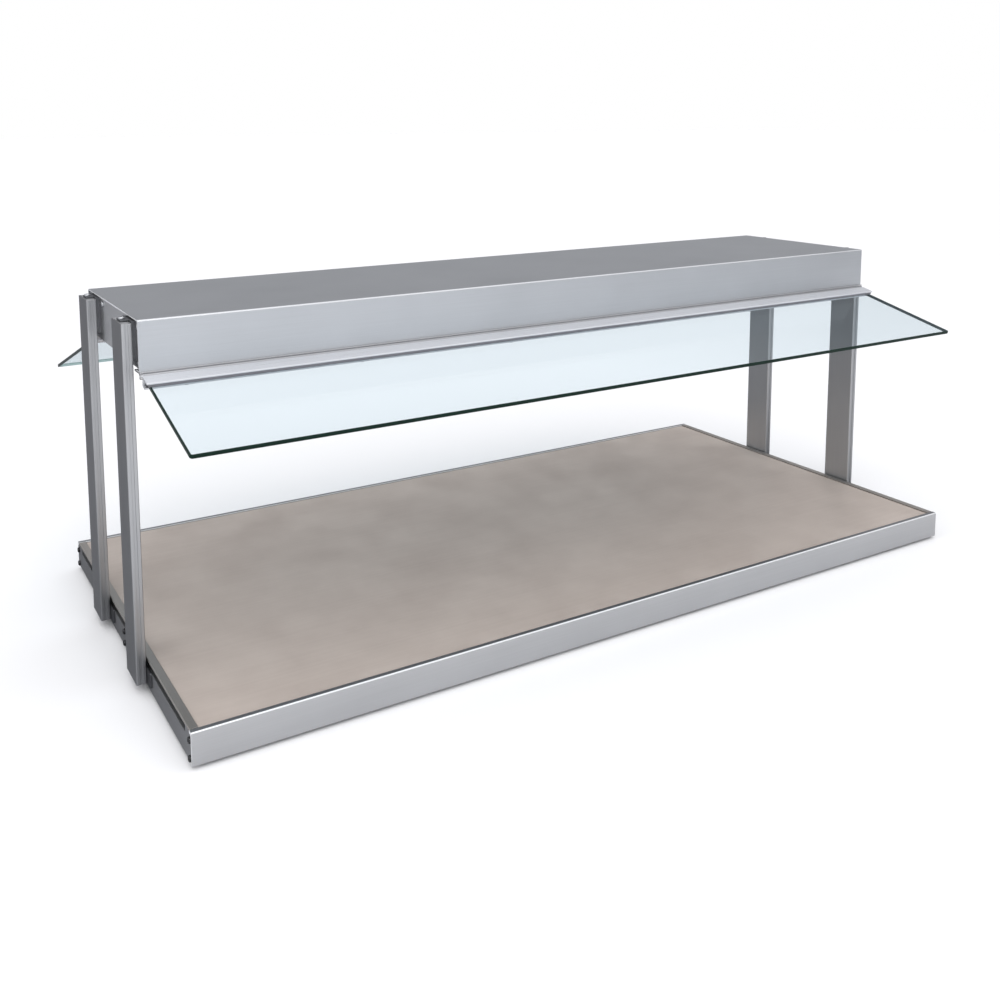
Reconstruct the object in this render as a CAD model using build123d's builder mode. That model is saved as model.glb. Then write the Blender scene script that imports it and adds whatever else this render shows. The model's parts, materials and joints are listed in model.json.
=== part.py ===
from build123d import *
import os
from math import cos, radians, sin

# A double-sided buffet warmer: a heated shelf on a slim base, four flat posts, a long heater
# canopy and a leaning glass guard along each side. Millimetres. X runs along the warmer, +Y to
# the back, +Z up. The origin is on the counter, in the middle of the overall footprint.

# Base
base_length = 1086.0
base_depth = 530.0
base_height = 34.0
foot_height = 4.0
foot_radius = 8.0
foot_setback = 13.5
rail_wall = 2.5
rail_lip_width = 7.0
rail_lip_height = 3.5
rail_lip_radius = 1.5
rail_ledge_depth = 14.0
rail_ledge_thickness = 2.0
rail_flange_depth = 22.0
rail_flange_thickness = 2.0
boss_radius = 4.0
boss_low = 5.5
boss_high = 24.0
middle_high = 19.5
boss_overlap = 0.5
foot_inset = 70.0
end_recess = 0.6
end_plate_lift = 1.0
end_plate_thickness = 1.5
end_flange_depth = 14.5
channel_depth = 4.5
channel_height = 8.5
trim_width = 9.0
trim_thickness = 2.0
trim_edge_radius = 0.9
shelf_thickness = 2.0
shelf_gap = 0.6
shelf_corner = 2.0
shelf_edge_radius = 0.5
block_chamfer = 0.5
foot_chamfer = 0.8
heater_thickness = 1.6
heater_border = 8.0
heater_corner = 6.0
pan_thickness = 1.0
pan_wall_height = 9.0
pan_overlap = 2.0
base_wiring_bay = 108.0
bulb_radius = 3.0
bulb_length = 80.0
bulb_y = -60.0
bulb_gap = 2.0
bulb_edge_radius = 0.8
block_length = 30.0
block_width = 34.0
block_height = 16.0
block_setback = 38.0
block_offset = 3.0
block_hole_radius = 2.4
block_hole_depth = 6.0
block_hole_spacing = 10.0
block_row_spacing = 16.0

# Cord entry
gland_inset = 75.0
gland_drop = 4.0
gland_edge_radius = 2.5
gland_thread_radius = 7.8
gland_bore_radius = 4.2
gland_flange_radius = 10.0
gland_flange_thickness = 5.0
gland_dome_radius = 8.0
gland_dome_length = 6.0
gland_nut_thickness = 4.0

# Posts
post_height = 388.0
post_rise = 8.0
post_width = 44.0
post_thickness = 11.0
post_wall = 1.6
post_corner = 1.2
post_groove_width = 3.0
post_groove_depth = 0.8
post_setback = 34.0
post_standoff = 1.5
plug_length = 9.0
plug_inset = 0.3
plug_screw_gap = 1.0
lower_bracket_width = 72.0
lower_bracket_height = 17.0
upper_bracket_width = 34.0
upper_bracket_height = 40.0
bracket_corner = 2.0
upper_bolt_rise = 10.0
tab_thickness = 1.5
tab_gap = 0.3
tab_width = 16.0
tab_reach = 8.5
conduit_radius = 3.5
conduit_bend = 9.0
conduit_slot_width = 10.0
conduit_slot_height = 18.0
conduit_slot_drop = 4.0
conduit_low = 18.0
conduit_high = 34.0
conduit_lower_reach = 16.0
conduit_upper_reach = 13.0
bolt_spread = 24.0

# Canopy
canopy_drop = 5.0
canopy_height = 54.0
canopy_depth = 238.0
canopy_setback = 1.0
skin_thickness = 1.2
skin_lip = 12.0
skin_bend = 1.8
canopy_recess = 2.5
canopy_plate_thickness = 1.2
canopy_flange = 12.0
canopy_bay = 80.0
bulkhead_thickness = 1.2
reflector_sheet = 0.8
reflector_side_gap = 4.4
reflector_slope = 20.0
reflector_lip = 4.0
reflector_headroom = 11.0
centre_rail_width = 20.0
centre_rail_thickness = 1.2
centre_rail_web = 2.0
centre_rail_height = 15.0
element_radius = 4.0
element_inset = 8.0
element_height = 19.0
element_end_gap = 40.0
element_cold_end = 18.0
element_pin_radius = 1.5
element_pin_length = 12.0
support_thickness = 1.2
support_count = 3
support_margin = 30.0
support_below = 3.0
support_side_gap = 1.5

# Hinge rails and glass guards
hinge_out = 2.5
hinge_below = 3.0
bead_radius = 2.0
bead_clearance = 0.2
socket_wall = 1.6
leaf_reach = 21.5
leaf_thickness = 1.6
swing_margin = 25.0
guard_lift = 70.0
front_tilt = 14.0
rear_tilt = 18.0
front_glass_reach = 159.0
rear_glass_reach = 284.0
neck_thickness = 1.6
holder_start = 4.4
holder_length = 16.6
holder_inset = 1.5
holder_top = 1.5
upper_jaw = 1.7
lower_jaw = 1.8
lower_jaw_setback = 7.6
holder_back = 3.0
holder_edge_radius = 1.0
holder_heel_radius = 3.0
gasket_thickness = 0.4
seal_thickness = 2.8
gasket_inset = 3.5
glass_thickness = 4.0
glass_inset = 5.0
glass_corner = 3.0
glass_seam = 0.5
clamp_count = 6
clamp_margin = 40.0
rivet_count = 10
rivet_margin = 30.0
rivet_setback = 8.4

# Controls on the right-hand end of the canopy
control_height = 26.0
switch_y = -44.0
lamp_y = -27.0
thermostat_y = 0.0
element_control_y = 40.0
switch_bezel_width = 20.0
switch_bezel_height = 27.0
switch_bezel_thickness = 1.6
switch_body_width = 17.0
switch_body_height = 24.0
switch_body_depth = 23.0
switch_wall = 1.5
rocker_pocket_depth = 8.0
rocker_clearance = 0.5
rocker_proud = 3.5
rocker_valley = 1.6
rocker_tilt = 8.0
rocker_pin_radius = 1.0
rocker_pin_length = 1.2
rocker_pin_clearance = 0.1
rocker_pivot_depth = 3.5
rocker_back = 1.5
rocker_end_gap = 1.2
rocker_shoulder = 1.2
rocker_bevel = 3.0
control_body_depth = 28.0
element_control_width = 34.0
thermostat_width = 28.0
control_body_height = 34.0
control_body_corner = 2.0
bush_radius = 4.8
bush_length = 2.7
shaft_radius = 3.0
shaft_clearance = 0.1
shaft_length = 27.0
shaft_seat = 12.0
knob_radius = 15.0
knob_skirt = 3.5
knob_height = 13.0
knob_gap = 1.0
knob_grip_width = 8.0
knob_cap_radius = 11.0
knob_bore_clearance = 0.05
knob_flat = 1.0
knob_grip_inset = 1.5
lamp_radius = 4.0
lamp_bezel_radius = 5.2
lamp_bezel_thickness = 1.4
lamp_depth = 18.0
lamp_dome = 2.6
lamp_dome_radius = 1.8

# Fasteners
pan_head_radius = 3.4
pan_head_height = 2.4
screw_radius = 1.75
screw_clearance = 0.05
base_screw_length = 11.0
canopy_screw_length = 7.0
bolt_length = 10.0
clamp_head_radius = 2.5
clamp_head_height = 1.2
rivet_radius = 1.6
rivet_head_radius = 3.0
rivet_head_height = 1.2
lead_radius = 1.5
supply_lead_radius = 1.8
lead_loop = 11.0
side_terminal = 8.0
canopy_screw_inset = 5.5
canopy_screw_low = 7.0
canopy_screw_high = 9.0
canopy_screw_step = 35.0
slip = 0.2

# Heights and places that follow from the sizes above
half_length = base_length / 2
half_depth = base_depth / 2
base_bottom = foot_height
base_top = base_bottom + base_height
ledge_top = base_top - rail_lip_height
trim_top = base_top
trim_bottom = trim_top - trim_thickness
channel_floor = trim_bottom - channel_height
rail_inner = half_depth - rail_wall
lip_inner = half_depth - rail_lip_width
ledge_inner = rail_inner - rail_ledge_depth - (rail_lip_width - rail_wall)
end_plate_out = half_length - end_recess
end_plate_in = end_plate_out - end_plate_thickness
channel_wall_out = end_plate_in - channel_depth
channel_wall_in = channel_wall_out - end_plate_thickness
pan_bottom = base_bottom + rail_flange_thickness
pan_top = pan_bottom + pan_thickness
heater_bottom = ledge_top - heater_thickness
boss_out = rail_inner - boss_radius + boss_overlap
foot_out = rail_inner - foot_setback
foot_x = half_length - foot_inset
gland_y = half_depth - gland_inset

post_bottom = base_bottom + post_rise
post_top = post_bottom + post_height
post_in = half_length + post_standoff
post_out = post_in + post_thickness
post_mid = (post_in + post_out) / 2
canopy_half_depth = canopy_depth / 2
post_y = canopy_half_depth - post_setback

canopy_top = post_top + canopy_drop
canopy_bottom = canopy_top - canopy_height
canopy_half = half_length - canopy_setback
skin_under = canopy_top - skin_thickness
skin_inner = canopy_half_depth - skin_thickness
lip_top = canopy_bottom + skin_thickness
canopy_plate_out = canopy_half - canopy_recess
canopy_plate_in = canopy_plate_out - canopy_plate_thickness
bulkhead_in = canopy_plate_in - canopy_bay
bulkhead_out = bulkhead_in + bulkhead_thickness
reflector_top = canopy_top - skin_thickness - reflector_headroom
reflector_centre = (skin_inner + centre_rail_web / 2) / 2
reflector_half = (skin_inner - centre_rail_web / 2) / 2 - reflector_side_gap
reflector_half_mouth = reflector_half - reflector_lip
reflector_half_top = reflector_half_mouth - reflector_slope
element_leg = reflector_half_top - element_inset
element_z = canopy_bottom + element_height
element_left = -(canopy_plate_in - element_end_gap)
pin_end = bulkhead_out + element_cold_end + element_pin_length

hinge_y = canopy_half_depth + hinge_out
hinge_z = canopy_bottom - hinge_below
socket_radius = bead_radius + bead_clearance + socket_wall
holder_end = holder_start + holder_length
slot_top = holder_top - upper_jaw
glass_top = slot_top - seal_thickness
glass_bottom = glass_top - glass_thickness
slot_bottom = glass_bottom - gasket_thickness
holder_bottom = slot_bottom - lower_jaw
slot_start = holder_start + holder_back
glass_start = slot_start + gasket_thickness
glass_length = 2 * (canopy_half - glass_inset)


def glass_outreach(reach, tilt):
    # how far a guard's outermost edge stands from the canopy's centre line
    return hinge_y + reach * cos(radians(tilt)) + glass_top * sin(radians(tilt))


# The rear guard is deeper, so the base sits forward of the middle of the footprint
base_y = (glass_outreach(front_glass_reach, front_tilt) - glass_outreach(rear_glass_reach, rear_tilt)) / 2

guards = {
    "front": (-1, front_tilt, front_glass_reach),
    "rear": (1, rear_tilt, rear_glass_reach),
}
sides = {"front": -1, "rear": 1}
ends = {"left": -1, "right": 1}


def long_section(side):
    # a section across the warmer: local x runs outward to the front (-1) or rear (1), local y up
    return Plane(origin=(0, base_y, 0), x_dir=(0, side, 0), z_dir=(side, 0, 0))


def end_section(end):
    # a section along the warmer: local x runs outward to the left (-1) or right (1), local y up
    return Plane(origin=(0, base_y, 0), x_dir=(end, 0, 0), z_dir=(0, -end, 0))


def end_face(end, out):
    # a face square to X at distance out, looking outward: local x is along Y, local y up
    return Plane(origin=(end * out, base_y, 0), x_dir=(0, end, 0), z_dir=(end, 0, 0))


def guard_section(side, tilt):
    # origin on the hinge axis, local x down the slope of the glass, local y square to it
    slope = radians(tilt)
    return Plane(
        origin=(0, base_y + side * hinge_y, hinge_z),
        x_dir=(0, side * cos(slope), -sin(slope)),
        z_dir=(side, 0, 0),
    )


def write(piece, label):
    piece.label = label
    export_step(piece, f"parts/{label}.step")


def pan_screw(shank_length):
    # a pan-head screw, head above z = 0, shank below, with a cross recess
    with BuildPart() as screw:
        with BuildSketch(Plane.XY):
            Circle(pan_head_radius)
        extrude(amount=pan_head_height)
        fillet(screw.faces().sort_by(Axis.Z)[-1].edges(), 0.6 * pan_head_height)
        with BuildSketch(Plane.XY):
            Circle(screw_radius)
        extrude(amount=-shank_length)
        with BuildSketch(Plane.XY.offset(pan_head_height)):
            Rectangle(1.1 * pan_head_radius, 0.25 * pan_head_radius)
            Rectangle(0.25 * pan_head_radius, 1.1 * pan_head_radius)
        extrude(amount=-0.5 * pan_head_height, mode=Mode.SUBTRACT)
    return screw.part


def placed(piece, planes):
    # copies of one fastener, one on each plane
    with BuildPart() as group:
        with Locations(*[Location(plane) for plane in planes]):
            add(piece)
    return group.part


def on_face(plane, points):
    # planes parallel to a face, with their origins at points of it
    origins = [plane.from_local_coords((x, y, 0)) for x, y in points]
    return [Plane(origin=origin, x_dir=plane.x_dir, z_dir=plane.z_dir) for origin in origins]


def mirrored(values):
    return [-value for value in values] + list(values)


# Places of the fasteners
boss_points = [(y, base_bottom + z) for y in mirrored([boss_out]) for z in (boss_low, boss_high)]
bracket_mid = post_bottom + lower_bracket_height / 2
middle_pair = [(0, base_bottom + z) for z in (boss_low, middle_high)]
upper_bracket_bottom = post_top - upper_bracket_height
bolt_ys = [y + dy for y in mirrored([post_y]) for dy in mirrored([bolt_spread / 2])]
lower_bolts = [(y, bracket_mid) for y in bolt_ys]
upper_bolt_z = upper_bracket_bottom + upper_bolt_rise
upper_bolts = [(y, upper_bolt_z) for y in bolt_ys]
canopy_corner = skin_inner - canopy_screw_inset
canopy_screw_zs = [canopy_bottom + canopy_screw_low, canopy_top - canopy_screw_high]
canopy_screws = [(y, z) for y in mirrored([canopy_corner]) for z in canopy_screw_zs]
canopy_screws += [(y, canopy_screw_zs[1]) for y in mirrored([post_y - canopy_screw_step])]
rivet_pitch = 2 * (canopy_half - rivet_margin) / (rivet_count - 1)
rivet_y = skin_inner - rivet_setback
clamp_pitch = (glass_length - 2 * clamp_margin) / (clamp_count - 1)
screw_hole = screw_radius + screw_clearance
conduit_lower_z = base_bottom + conduit_low
conduit_upper_z = canopy_bottom + conduit_high
conduit_y = post_y
gland_z = base_bottom + base_height / 2 - gland_drop


conduit_slot_points = [
    (conduit_y, conduit_lower_z + conduit_slot_drop),
    (conduit_y, conduit_upper_z - conduit_slot_drop),
]


os.makedirs("parts", exist_ok=True)

# Front and rear rails: a wall with a rounded lip, a ledge for the shelf, a bottom flange and
# two screw bosses. The wall and lip run past the rest by the depth of the end recess.
for name, side in sides.items():
    with BuildPart() as rail:
        with BuildSketch(long_section(side)) as wall:
            with Locations((half_depth, base_bottom)):
                Rectangle(rail_wall, base_height, align=(Align.MAX, Align.MIN))
            with Locations((half_depth, base_top)):
                Rectangle(rail_lip_width, rail_lip_height, align=(Align.MAX, Align.MAX))
            outer_corner = wall.vertices().sort_by_distance((half_depth, base_top))[0]
            fillet(outer_corner, rail_lip_radius)
            inner_corner = wall.vertices().sort_by_distance((lip_inner, base_top))[0]
            fillet(inner_corner, 1.0)
        extrude(amount=half_length, both=True)
        with BuildSketch(long_section(side)):
            with Locations((rail_inner, ledge_top)):
                Rectangle(rail_inner - ledge_inner, rail_ledge_thickness, align=(Align.MAX, Align.MAX))
            with Locations((rail_inner, base_bottom)):
                Rectangle(rail_flange_depth, rail_flange_thickness, align=(Align.MAX, Align.MIN))
            with Locations(*[(boss_out, base_bottom + z) for z in (boss_low, boss_high)]):
                Circle(boss_radius)
        extrude(amount=end_plate_in, both=True)
        with BuildSketch(long_section(side)):
            with Locations(*[(boss_out, base_bottom + z) for z in (boss_low, boss_high)]):
                Circle(screw_hole)
        extrude(amount=end_plate_in, both=True, mode=Mode.SUBTRACT)
        with BuildSketch(Plane.XY.offset(base_bottom)):
            foot_y = base_y + side * foot_out
            with Locations(*[(x, foot_y) for x in mirrored([foot_x])]):
                Circle(screw_hole)
        extrude(amount=rail_flange_thickness, mode=Mode.SUBTRACT)
    write(rail.part, f"{name}_rail")

# Base end plates: a web across the rails' ends, a channel set in under the trim and a flange
# under the end of the shelf
for name, end in ends.items():
    with BuildPart() as plate:
        with BuildSketch(end_section(end)):
            with Locations((end_plate_out, base_bottom + end_plate_lift)):
                web_height = ledge_top - base_bottom - end_plate_lift
                Rectangle(end_plate_thickness, web_height, align=(Align.MAX, Align.MIN))
        extrude(amount=rail_inner - slip, both=True)
        with BuildSketch(end_section(end)):
            with Locations((end_plate_out, ledge_top)):
                Rectangle(end_plate_thickness, trim_bottom - ledge_top, align=(Align.MAX, Align.MIN))
        extrude(amount=lip_inner - slip, both=True)
        with BuildSketch(end_section(end)):
            with Locations((channel_wall_in, channel_floor - end_plate_thickness)):
                channel_box = (end_plate_in - channel_wall_in, channel_height + end_plate_thickness)
                Rectangle(*channel_box, align=(Align.MIN, Align.MIN))
            with Locations((channel_wall_in, ledge_top)):
                Rectangle(end_flange_depth, end_plate_thickness, align=(Align.MAX, Align.MAX))
        extrude(amount=ledge_inner - slip, both=True)
        with BuildSketch(end_section(end)):
            with Locations((channel_wall_out, channel_floor)):
                channel = (end_plate_out - channel_wall_out, channel_height)
                Rectangle(*channel, align=(Align.MIN, Align.MIN))
        extrude(amount=ledge_inner - slip - end_plate_thickness, both=True, mode=Mode.SUBTRACT)
        with BuildSketch(end_face(end, end_plate_out)):
            with Locations(*(boss_points + middle_pair + lower_bolts)):
                Circle(screw_hole)
        extrude(amount=-end_plate_thickness, mode=Mode.SUBTRACT)
        if name == "right":
            with BuildSketch(end_face(end, end_plate_out)):
                with Locations((gland_y, gland_z)):
                    Circle(gland_thread_radius + slip)
            extrude(amount=-end_plate_thickness, mode=Mode.SUBTRACT)
            with BuildSketch(end_face(end, end_plate_out)):
                with Locations(*conduit_slot_points):
                    Rectangle(conduit_slot_width, conduit_slot_height)
            extrude(amount=-end_plate_thickness, mode=Mode.SUBTRACT)
    write(plate.part, f"{name}_base_end_plate")

# End trims: a flat bar that covers the ends between the rails' lips
for name, end in ends.items():
    with BuildPart() as trim:
        with BuildSketch(end_section(end)) as bar:
            with Locations((half_length, trim_top)):
                Rectangle(trim_width, trim_thickness, align=(Align.MAX, Align.MAX))
            fillet(bar.vertices().sort_by_distance((half_length, trim_top))[0], trim_edge_radius)
        extrude(amount=lip_inner - slip, both=True)
    write(trim.part, f"{name}_end_trim")

# Shelf plate, on the rails' ledges, with a narrow groove all round
shelf_length = 2 * (half_length - trim_width - shelf_gap)
shelf_depth = 2 * (lip_inner - shelf_gap)
with BuildPart() as shelf:
    with BuildSketch(Plane(origin=(0, base_y, ledge_top))):
        RectangleRounded(shelf_length, shelf_depth, shelf_corner)
    extrude(amount=shelf_thickness)
    fillet(shelf.faces().sort_by(Axis.Z)[-1].edges(), shelf_edge_radius)
write(shelf.part, "shelf_plate")

# Foil heater bonded under the shelf
heater_half_length = end_plate_in - end_flange_depth - heater_border
with BuildPart() as heater:
    with BuildSketch(Plane(origin=(0, base_y, heater_bottom))):
        RectangleRounded(2 * heater_half_length, 2 * (ledge_inner - heater_border), heater_corner)
    extrude(amount=heater_thickness)
write(heater.part, "shelf_heater")

# Insulation between the pan and the heater, stopping short of the wiring bay at the right
insulation_left = -heater_half_length
insulation_right = end_plate_in - base_wiring_bay
with BuildPart() as insulation:
    with BuildSketch(Plane(origin=((insulation_left + insulation_right) / 2, base_y, pan_top))):
        Rectangle(insulation_right - insulation_left, 2 * (ledge_inner - heater_border))
    extrude(amount=heater_bottom - pan_top)
write(insulation.part, "shelf_insulation")

# Bottom pan on the rails' flanges, with turned-up long edges
pan_half_depth = ledge_inner + pan_overlap
with BuildPart() as pan:
    with BuildSketch(long_section(1)):
        with Locations((0, pan_bottom)):
            Rectangle(2 * pan_half_depth, pan_thickness, align=(Align.CENTER, Align.MIN))
        with Locations((-pan_half_depth, pan_bottom)):
            Rectangle(pan_thickness, pan_wall_height, align=(Align.MIN, Align.MIN))
        with Locations((pan_half_depth, pan_bottom)):
            Rectangle(pan_thickness, pan_wall_height, align=(Align.MAX, Align.MIN))
    extrude(amount=end_plate_in - slip, both=True)
write(pan.part, "bottom_pan")

# Thermostat bulb against the heater, in the wiring bay
bulb_plane = Plane(
    origin=(insulation_right + bulb_gap, base_y + bulb_y, heater_bottom - bulb_radius),
    z_dir=(1, 0, 0),
)
with BuildPart() as bulb:
    with BuildSketch(bulb_plane):
        Circle(bulb_radius)
    extrude(amount=bulb_length)
    fillet(bulb.edges(), bulb_edge_radius)
write(bulb.part, "thermostat_bulb")

# Terminal block on the pan, in the wiring bay
block_x = end_plate_in - block_setback - block_length / 2
block_y = base_y + gland_y - block_offset
block_top = pan_top + block_height
with BuildPart() as block:
    with BuildSketch(Plane(origin=(block_x, block_y, pan_top))):
        Rectangle(block_length, block_width)
    extrude(amount=block_height)
    with BuildSketch(Plane(origin=(block_x, block_y, block_top))):
        with GridLocations(block_row_spacing, block_hole_spacing, 2, 3):
            Circle(block_hole_radius)
    extrude(amount=-block_hole_depth, mode=Mode.SUBTRACT)
    chamfer(block.edges().filter_by(Axis.Z).group_by(SortBy.LENGTH)[-1], block_chamfer)
write(block.part, "base_terminal_block")

# Cord gland through the right-hand base end plate: flange, dome, thread and lock nut
gland_inner = end_plate_in - gland_nut_thickness
gland_outer = end_plate_out + gland_flange_thickness + gland_dome_length
with BuildPart() as gland:
    with BuildSketch(end_face(1, end_plate_out)):
        with Locations((gland_y, gland_z)):
            RegularPolygon(gland_flange_radius, 6)
    extrude(amount=gland_flange_thickness)
    with BuildSketch(end_face(1, end_plate_out)):
        with Locations((gland_y, gland_z)):
            Circle(gland_dome_radius)
    extrude(amount=gland_flange_thickness + gland_dome_length)
    dome_rim = gland.faces().sort_by(Axis.X)[-1].edges()
    fillet(dome_rim, gland_edge_radius)
    with BuildSketch(end_face(1, end_plate_out)):
        with Locations((gland_y, gland_z)):
            Circle(gland_thread_radius)
    extrude(amount=-(end_plate_out - gland_inner))
    with BuildSketch(end_face(1, end_plate_in)):
        with Locations((gland_y, gland_z)):
            RegularPolygon(gland_flange_radius, 6)
    extrude(amount=-gland_nut_thickness)
    with BuildSketch(end_face(1, gland_outer)):
        with Locations((gland_y, gland_z)):
            Circle(gland_bore_radius)
    extrude(amount=-(gland_outer - gland_inner), mode=Mode.SUBTRACT)
write(gland.part, "cord_gland")

# Rubber feet under the rails and the screws that hold them
foot_points = [(x, base_y + y) for x in mirrored([foot_x]) for y in mirrored([foot_out])]
foot_recess = pan_head_height + slip
with BuildPart() as feet:
    with BuildSketch(Plane.XY):
        with Locations(*foot_points):
            Circle(foot_radius)
    extrude(amount=foot_height)
    chamfer(feet.edges().filter_by(GeomType.CIRCLE).group_by(Axis.Z)[0], foot_chamfer)
    with BuildSketch(Plane.XY):
        with Locations(*foot_points):
            Circle(pan_head_radius + 3 * slip)
    extrude(amount=foot_recess, mode=Mode.SUBTRACT)
    with BuildSketch(Plane.XY.offset(foot_height)):
        with Locations(*foot_points):
            Circle(screw_hole)
    extrude(amount=-foot_height, mode=Mode.SUBTRACT)
write(feet.part, "rubber_feet")

foot_screw_length = foot_height - foot_recess + rail_flange_thickness
foot_planes = [Plane(origin=(x, y, foot_recess), z_dir=(0, 0, -1)) for x, y in foot_points]
write(placed(pan_screw(foot_screw_length), foot_planes), "foot_screws")

# Pan-head screws at the base's ends: into the rail bosses, and a pair in the middle
base_screw_planes = []
for end in ends.values():
    base_screw_planes += on_face(end_face(end, end_plate_out), boss_points + middle_pair)
write(placed(pan_screw(base_screw_length), base_screw_planes), "base_end_screws")

# Four posts of flat rectangular tube, grooved along both narrow faces. The rear right one carries
# the conduit.
for side_name, side in sides.items():
    for end_name, end in ends.items():
        with BuildPart() as post:
            with BuildSketch(Plane(origin=(end * post_mid, base_y + side * post_y, post_bottom))):
                RectangleRounded(post_thickness, post_width, post_corner)
                inner = (post_thickness - 2 * post_wall, post_width - 2 * post_wall)
                Rectangle(*inner, mode=Mode.SUBTRACT)
                with Locations(*[(0, y) for y in mirrored([post_width / 2])]):
                    Rectangle(post_groove_width, 2 * post_groove_depth, mode=Mode.SUBTRACT)
            extrude(amount=post_height)
            with BuildSketch(end_face(end, post_in)):
                with Locations(*(lower_bolts + upper_bolts)):
                    Circle(screw_hole)
            extrude(amount=post_wall, mode=Mode.SUBTRACT)
            if (side_name, end_name) == ("rear", "right"):
                with BuildSketch(end_face(end, post_in + post_wall)):
                    with Locations(*conduit_slot_points):
                        Rectangle(conduit_slot_width, conduit_slot_height)
                extrude(amount=-post_wall, mode=Mode.SUBTRACT)
        write(post.part, f"{end_name}_{side_name}_post")

# Dark plugs in the open ends of the posts
plug_top = post_top - plug_inset
plug_width = post_width - 2 * post_wall - slip
plug_thickness = post_thickness - 2 * post_wall - slip
with BuildPart() as plugs:
    for end in ends.values():
        for side in sides.values():
            with BuildSketch(Plane(origin=(end * post_mid, base_y + side * post_y, post_bottom))):
                Rectangle(plug_thickness, plug_width)
            extrude(amount=plug_length / 2)
            with BuildSketch(Plane(origin=(end * post_mid, base_y + side * post_y, plug_top))):
                Rectangle(plug_thickness, plug_width)
                Circle(screw_hole, mode=Mode.SUBTRACT)
            extrude(amount=-plug_length)
write(plugs.part, "post_end_plugs")

# Lower brackets: flat spacers between the base's end plates and the posts
with BuildPart() as lower_brackets:
    for end in ends.values():
        for side in sides.values():
            with BuildSketch(end_face(end, end_plate_out)):
                with Locations((end * side * post_y, bracket_mid)):
                    RectangleRounded(lower_bracket_width, lower_bracket_height, bracket_corner)
            extrude(amount=post_in - end_plate_out)
        with BuildSketch(end_face(end, post_in)):
            with Locations(*lower_bolts):
                Circle(screw_hole)
        extrude(amount=-(post_in - end_plate_out), mode=Mode.SUBTRACT)
    with BuildSketch(end_face(1, post_in)):
        with Locations(*conduit_slot_points):
            Rectangle(conduit_slot_width, conduit_slot_height)
    extrude(amount=-(post_in - end_plate_out), mode=Mode.SUBTRACT)
write(lower_brackets.part, "lower_post_brackets")

# Upper brackets: spacers with a tab over the top of each post
tab_bottom = post_top + tab_gap
with BuildPart() as upper_brackets:
    for end in ends.values():
        for side in sides.values():
            with BuildSketch(end_face(end, canopy_plate_out)):
                with Locations((end * side * post_y, upper_bracket_bottom)):
                    bracket_height = tab_bottom + tab_thickness - upper_bracket_bottom
                    Rectangle(upper_bracket_width, bracket_height, align=(Align.CENTER, Align.MIN))
            extrude(amount=post_in - canopy_plate_out)
            with BuildSketch(end_face(end, post_in)):
                with Locations((end * side * post_y, tab_bottom)):
                    Rectangle(tab_width, tab_thickness, align=(Align.CENTER, Align.MIN))
            extrude(amount=tab_reach)
        with BuildSketch(end_face(end, post_in)):
            with Locations(*upper_bolts):
                Circle(screw_hole)
        extrude(amount=-(post_in - canopy_plate_out), mode=Mode.SUBTRACT)
        with BuildSketch(Plane(origin=(end * post_mid, base_y, tab_bottom))):
            with Locations(*[(0, y) for y in mirrored([post_y])]):
                Circle(screw_hole)
        extrude(amount=tab_thickness, mode=Mode.SUBTRACT)
    with BuildSketch(end_face(1, post_in)):
        with Locations(*conduit_slot_points):
            Rectangle(conduit_slot_width, conduit_slot_height)
    extrude(amount=-(post_in - canopy_plate_out), mode=Mode.SUBTRACT)
write(upper_brackets.part, "upper_post_brackets")

# Screws through the tabs into the top plugs
tab_planes = [
    Plane(origin=(end * post_mid, base_y + side * post_y, tab_bottom + tab_thickness))
    for end in ends.values()
    for side in sides.values()
]
tab_screw_length = tab_thickness + tab_gap + plug_inset + plug_length - plug_screw_gap
write(placed(pan_screw(tab_screw_length), tab_planes), "post_top_screws")

# Bolts from inside, through the end plates and brackets into the posts
bolt_planes = []
for end in ends.values():
    for out, points in ((end_plate_in, lower_bolts), (canopy_plate_in, upper_bolts)):
        face = end_face(end, out)
        for x, y in points:
            origin = face.from_local_coords((x, y, 0))
            bolt_planes.append(Plane(origin=origin, x_dir=(0, 1, 0), z_dir=(-end, 0, 0)))
write(placed(pan_screw(bolt_length), bolt_planes), "post_bolts")

# Conduit from the base's wiring bay up the rear right post into the canopy
conduit_lower_end = end_plate_in - conduit_lower_reach
conduit_upper_end = canopy_plate_in - conduit_upper_reach
with BuildPart() as conduit:
    with BuildLine() as route:
        FilletPolyline(
            (conduit_lower_end, base_y + conduit_y, conduit_lower_z),
            (post_mid, base_y + conduit_y, conduit_lower_z),
            (post_mid, base_y + conduit_y, conduit_upper_z),
            (conduit_upper_end, base_y + conduit_y, conduit_upper_z),
            radius=conduit_bend,
        )
    with BuildSketch(Plane(origin=route.wire() @ 0, z_dir=route.wire() % 0)):
        Circle(conduit_radius)
    sweep()
write(conduit.part, "post_conduit")


def lead(points, directions, radius):
    # one insulated lead on a smooth curve through its points
    with BuildPart() as wire:
        with BuildLine() as route:
            Spline(*points, tangents=directions)
        with BuildSketch(Plane(origin=route.wire() @ 0, z_dir=route.wire() % 0)):
            Circle(radius)
        sweep()
    return wire.part


def lead_set(routes, radius):
    with BuildPart() as leads:
        for points, directions in routes:
            add(lead(points, directions, radius))
    return leads.part


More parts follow.
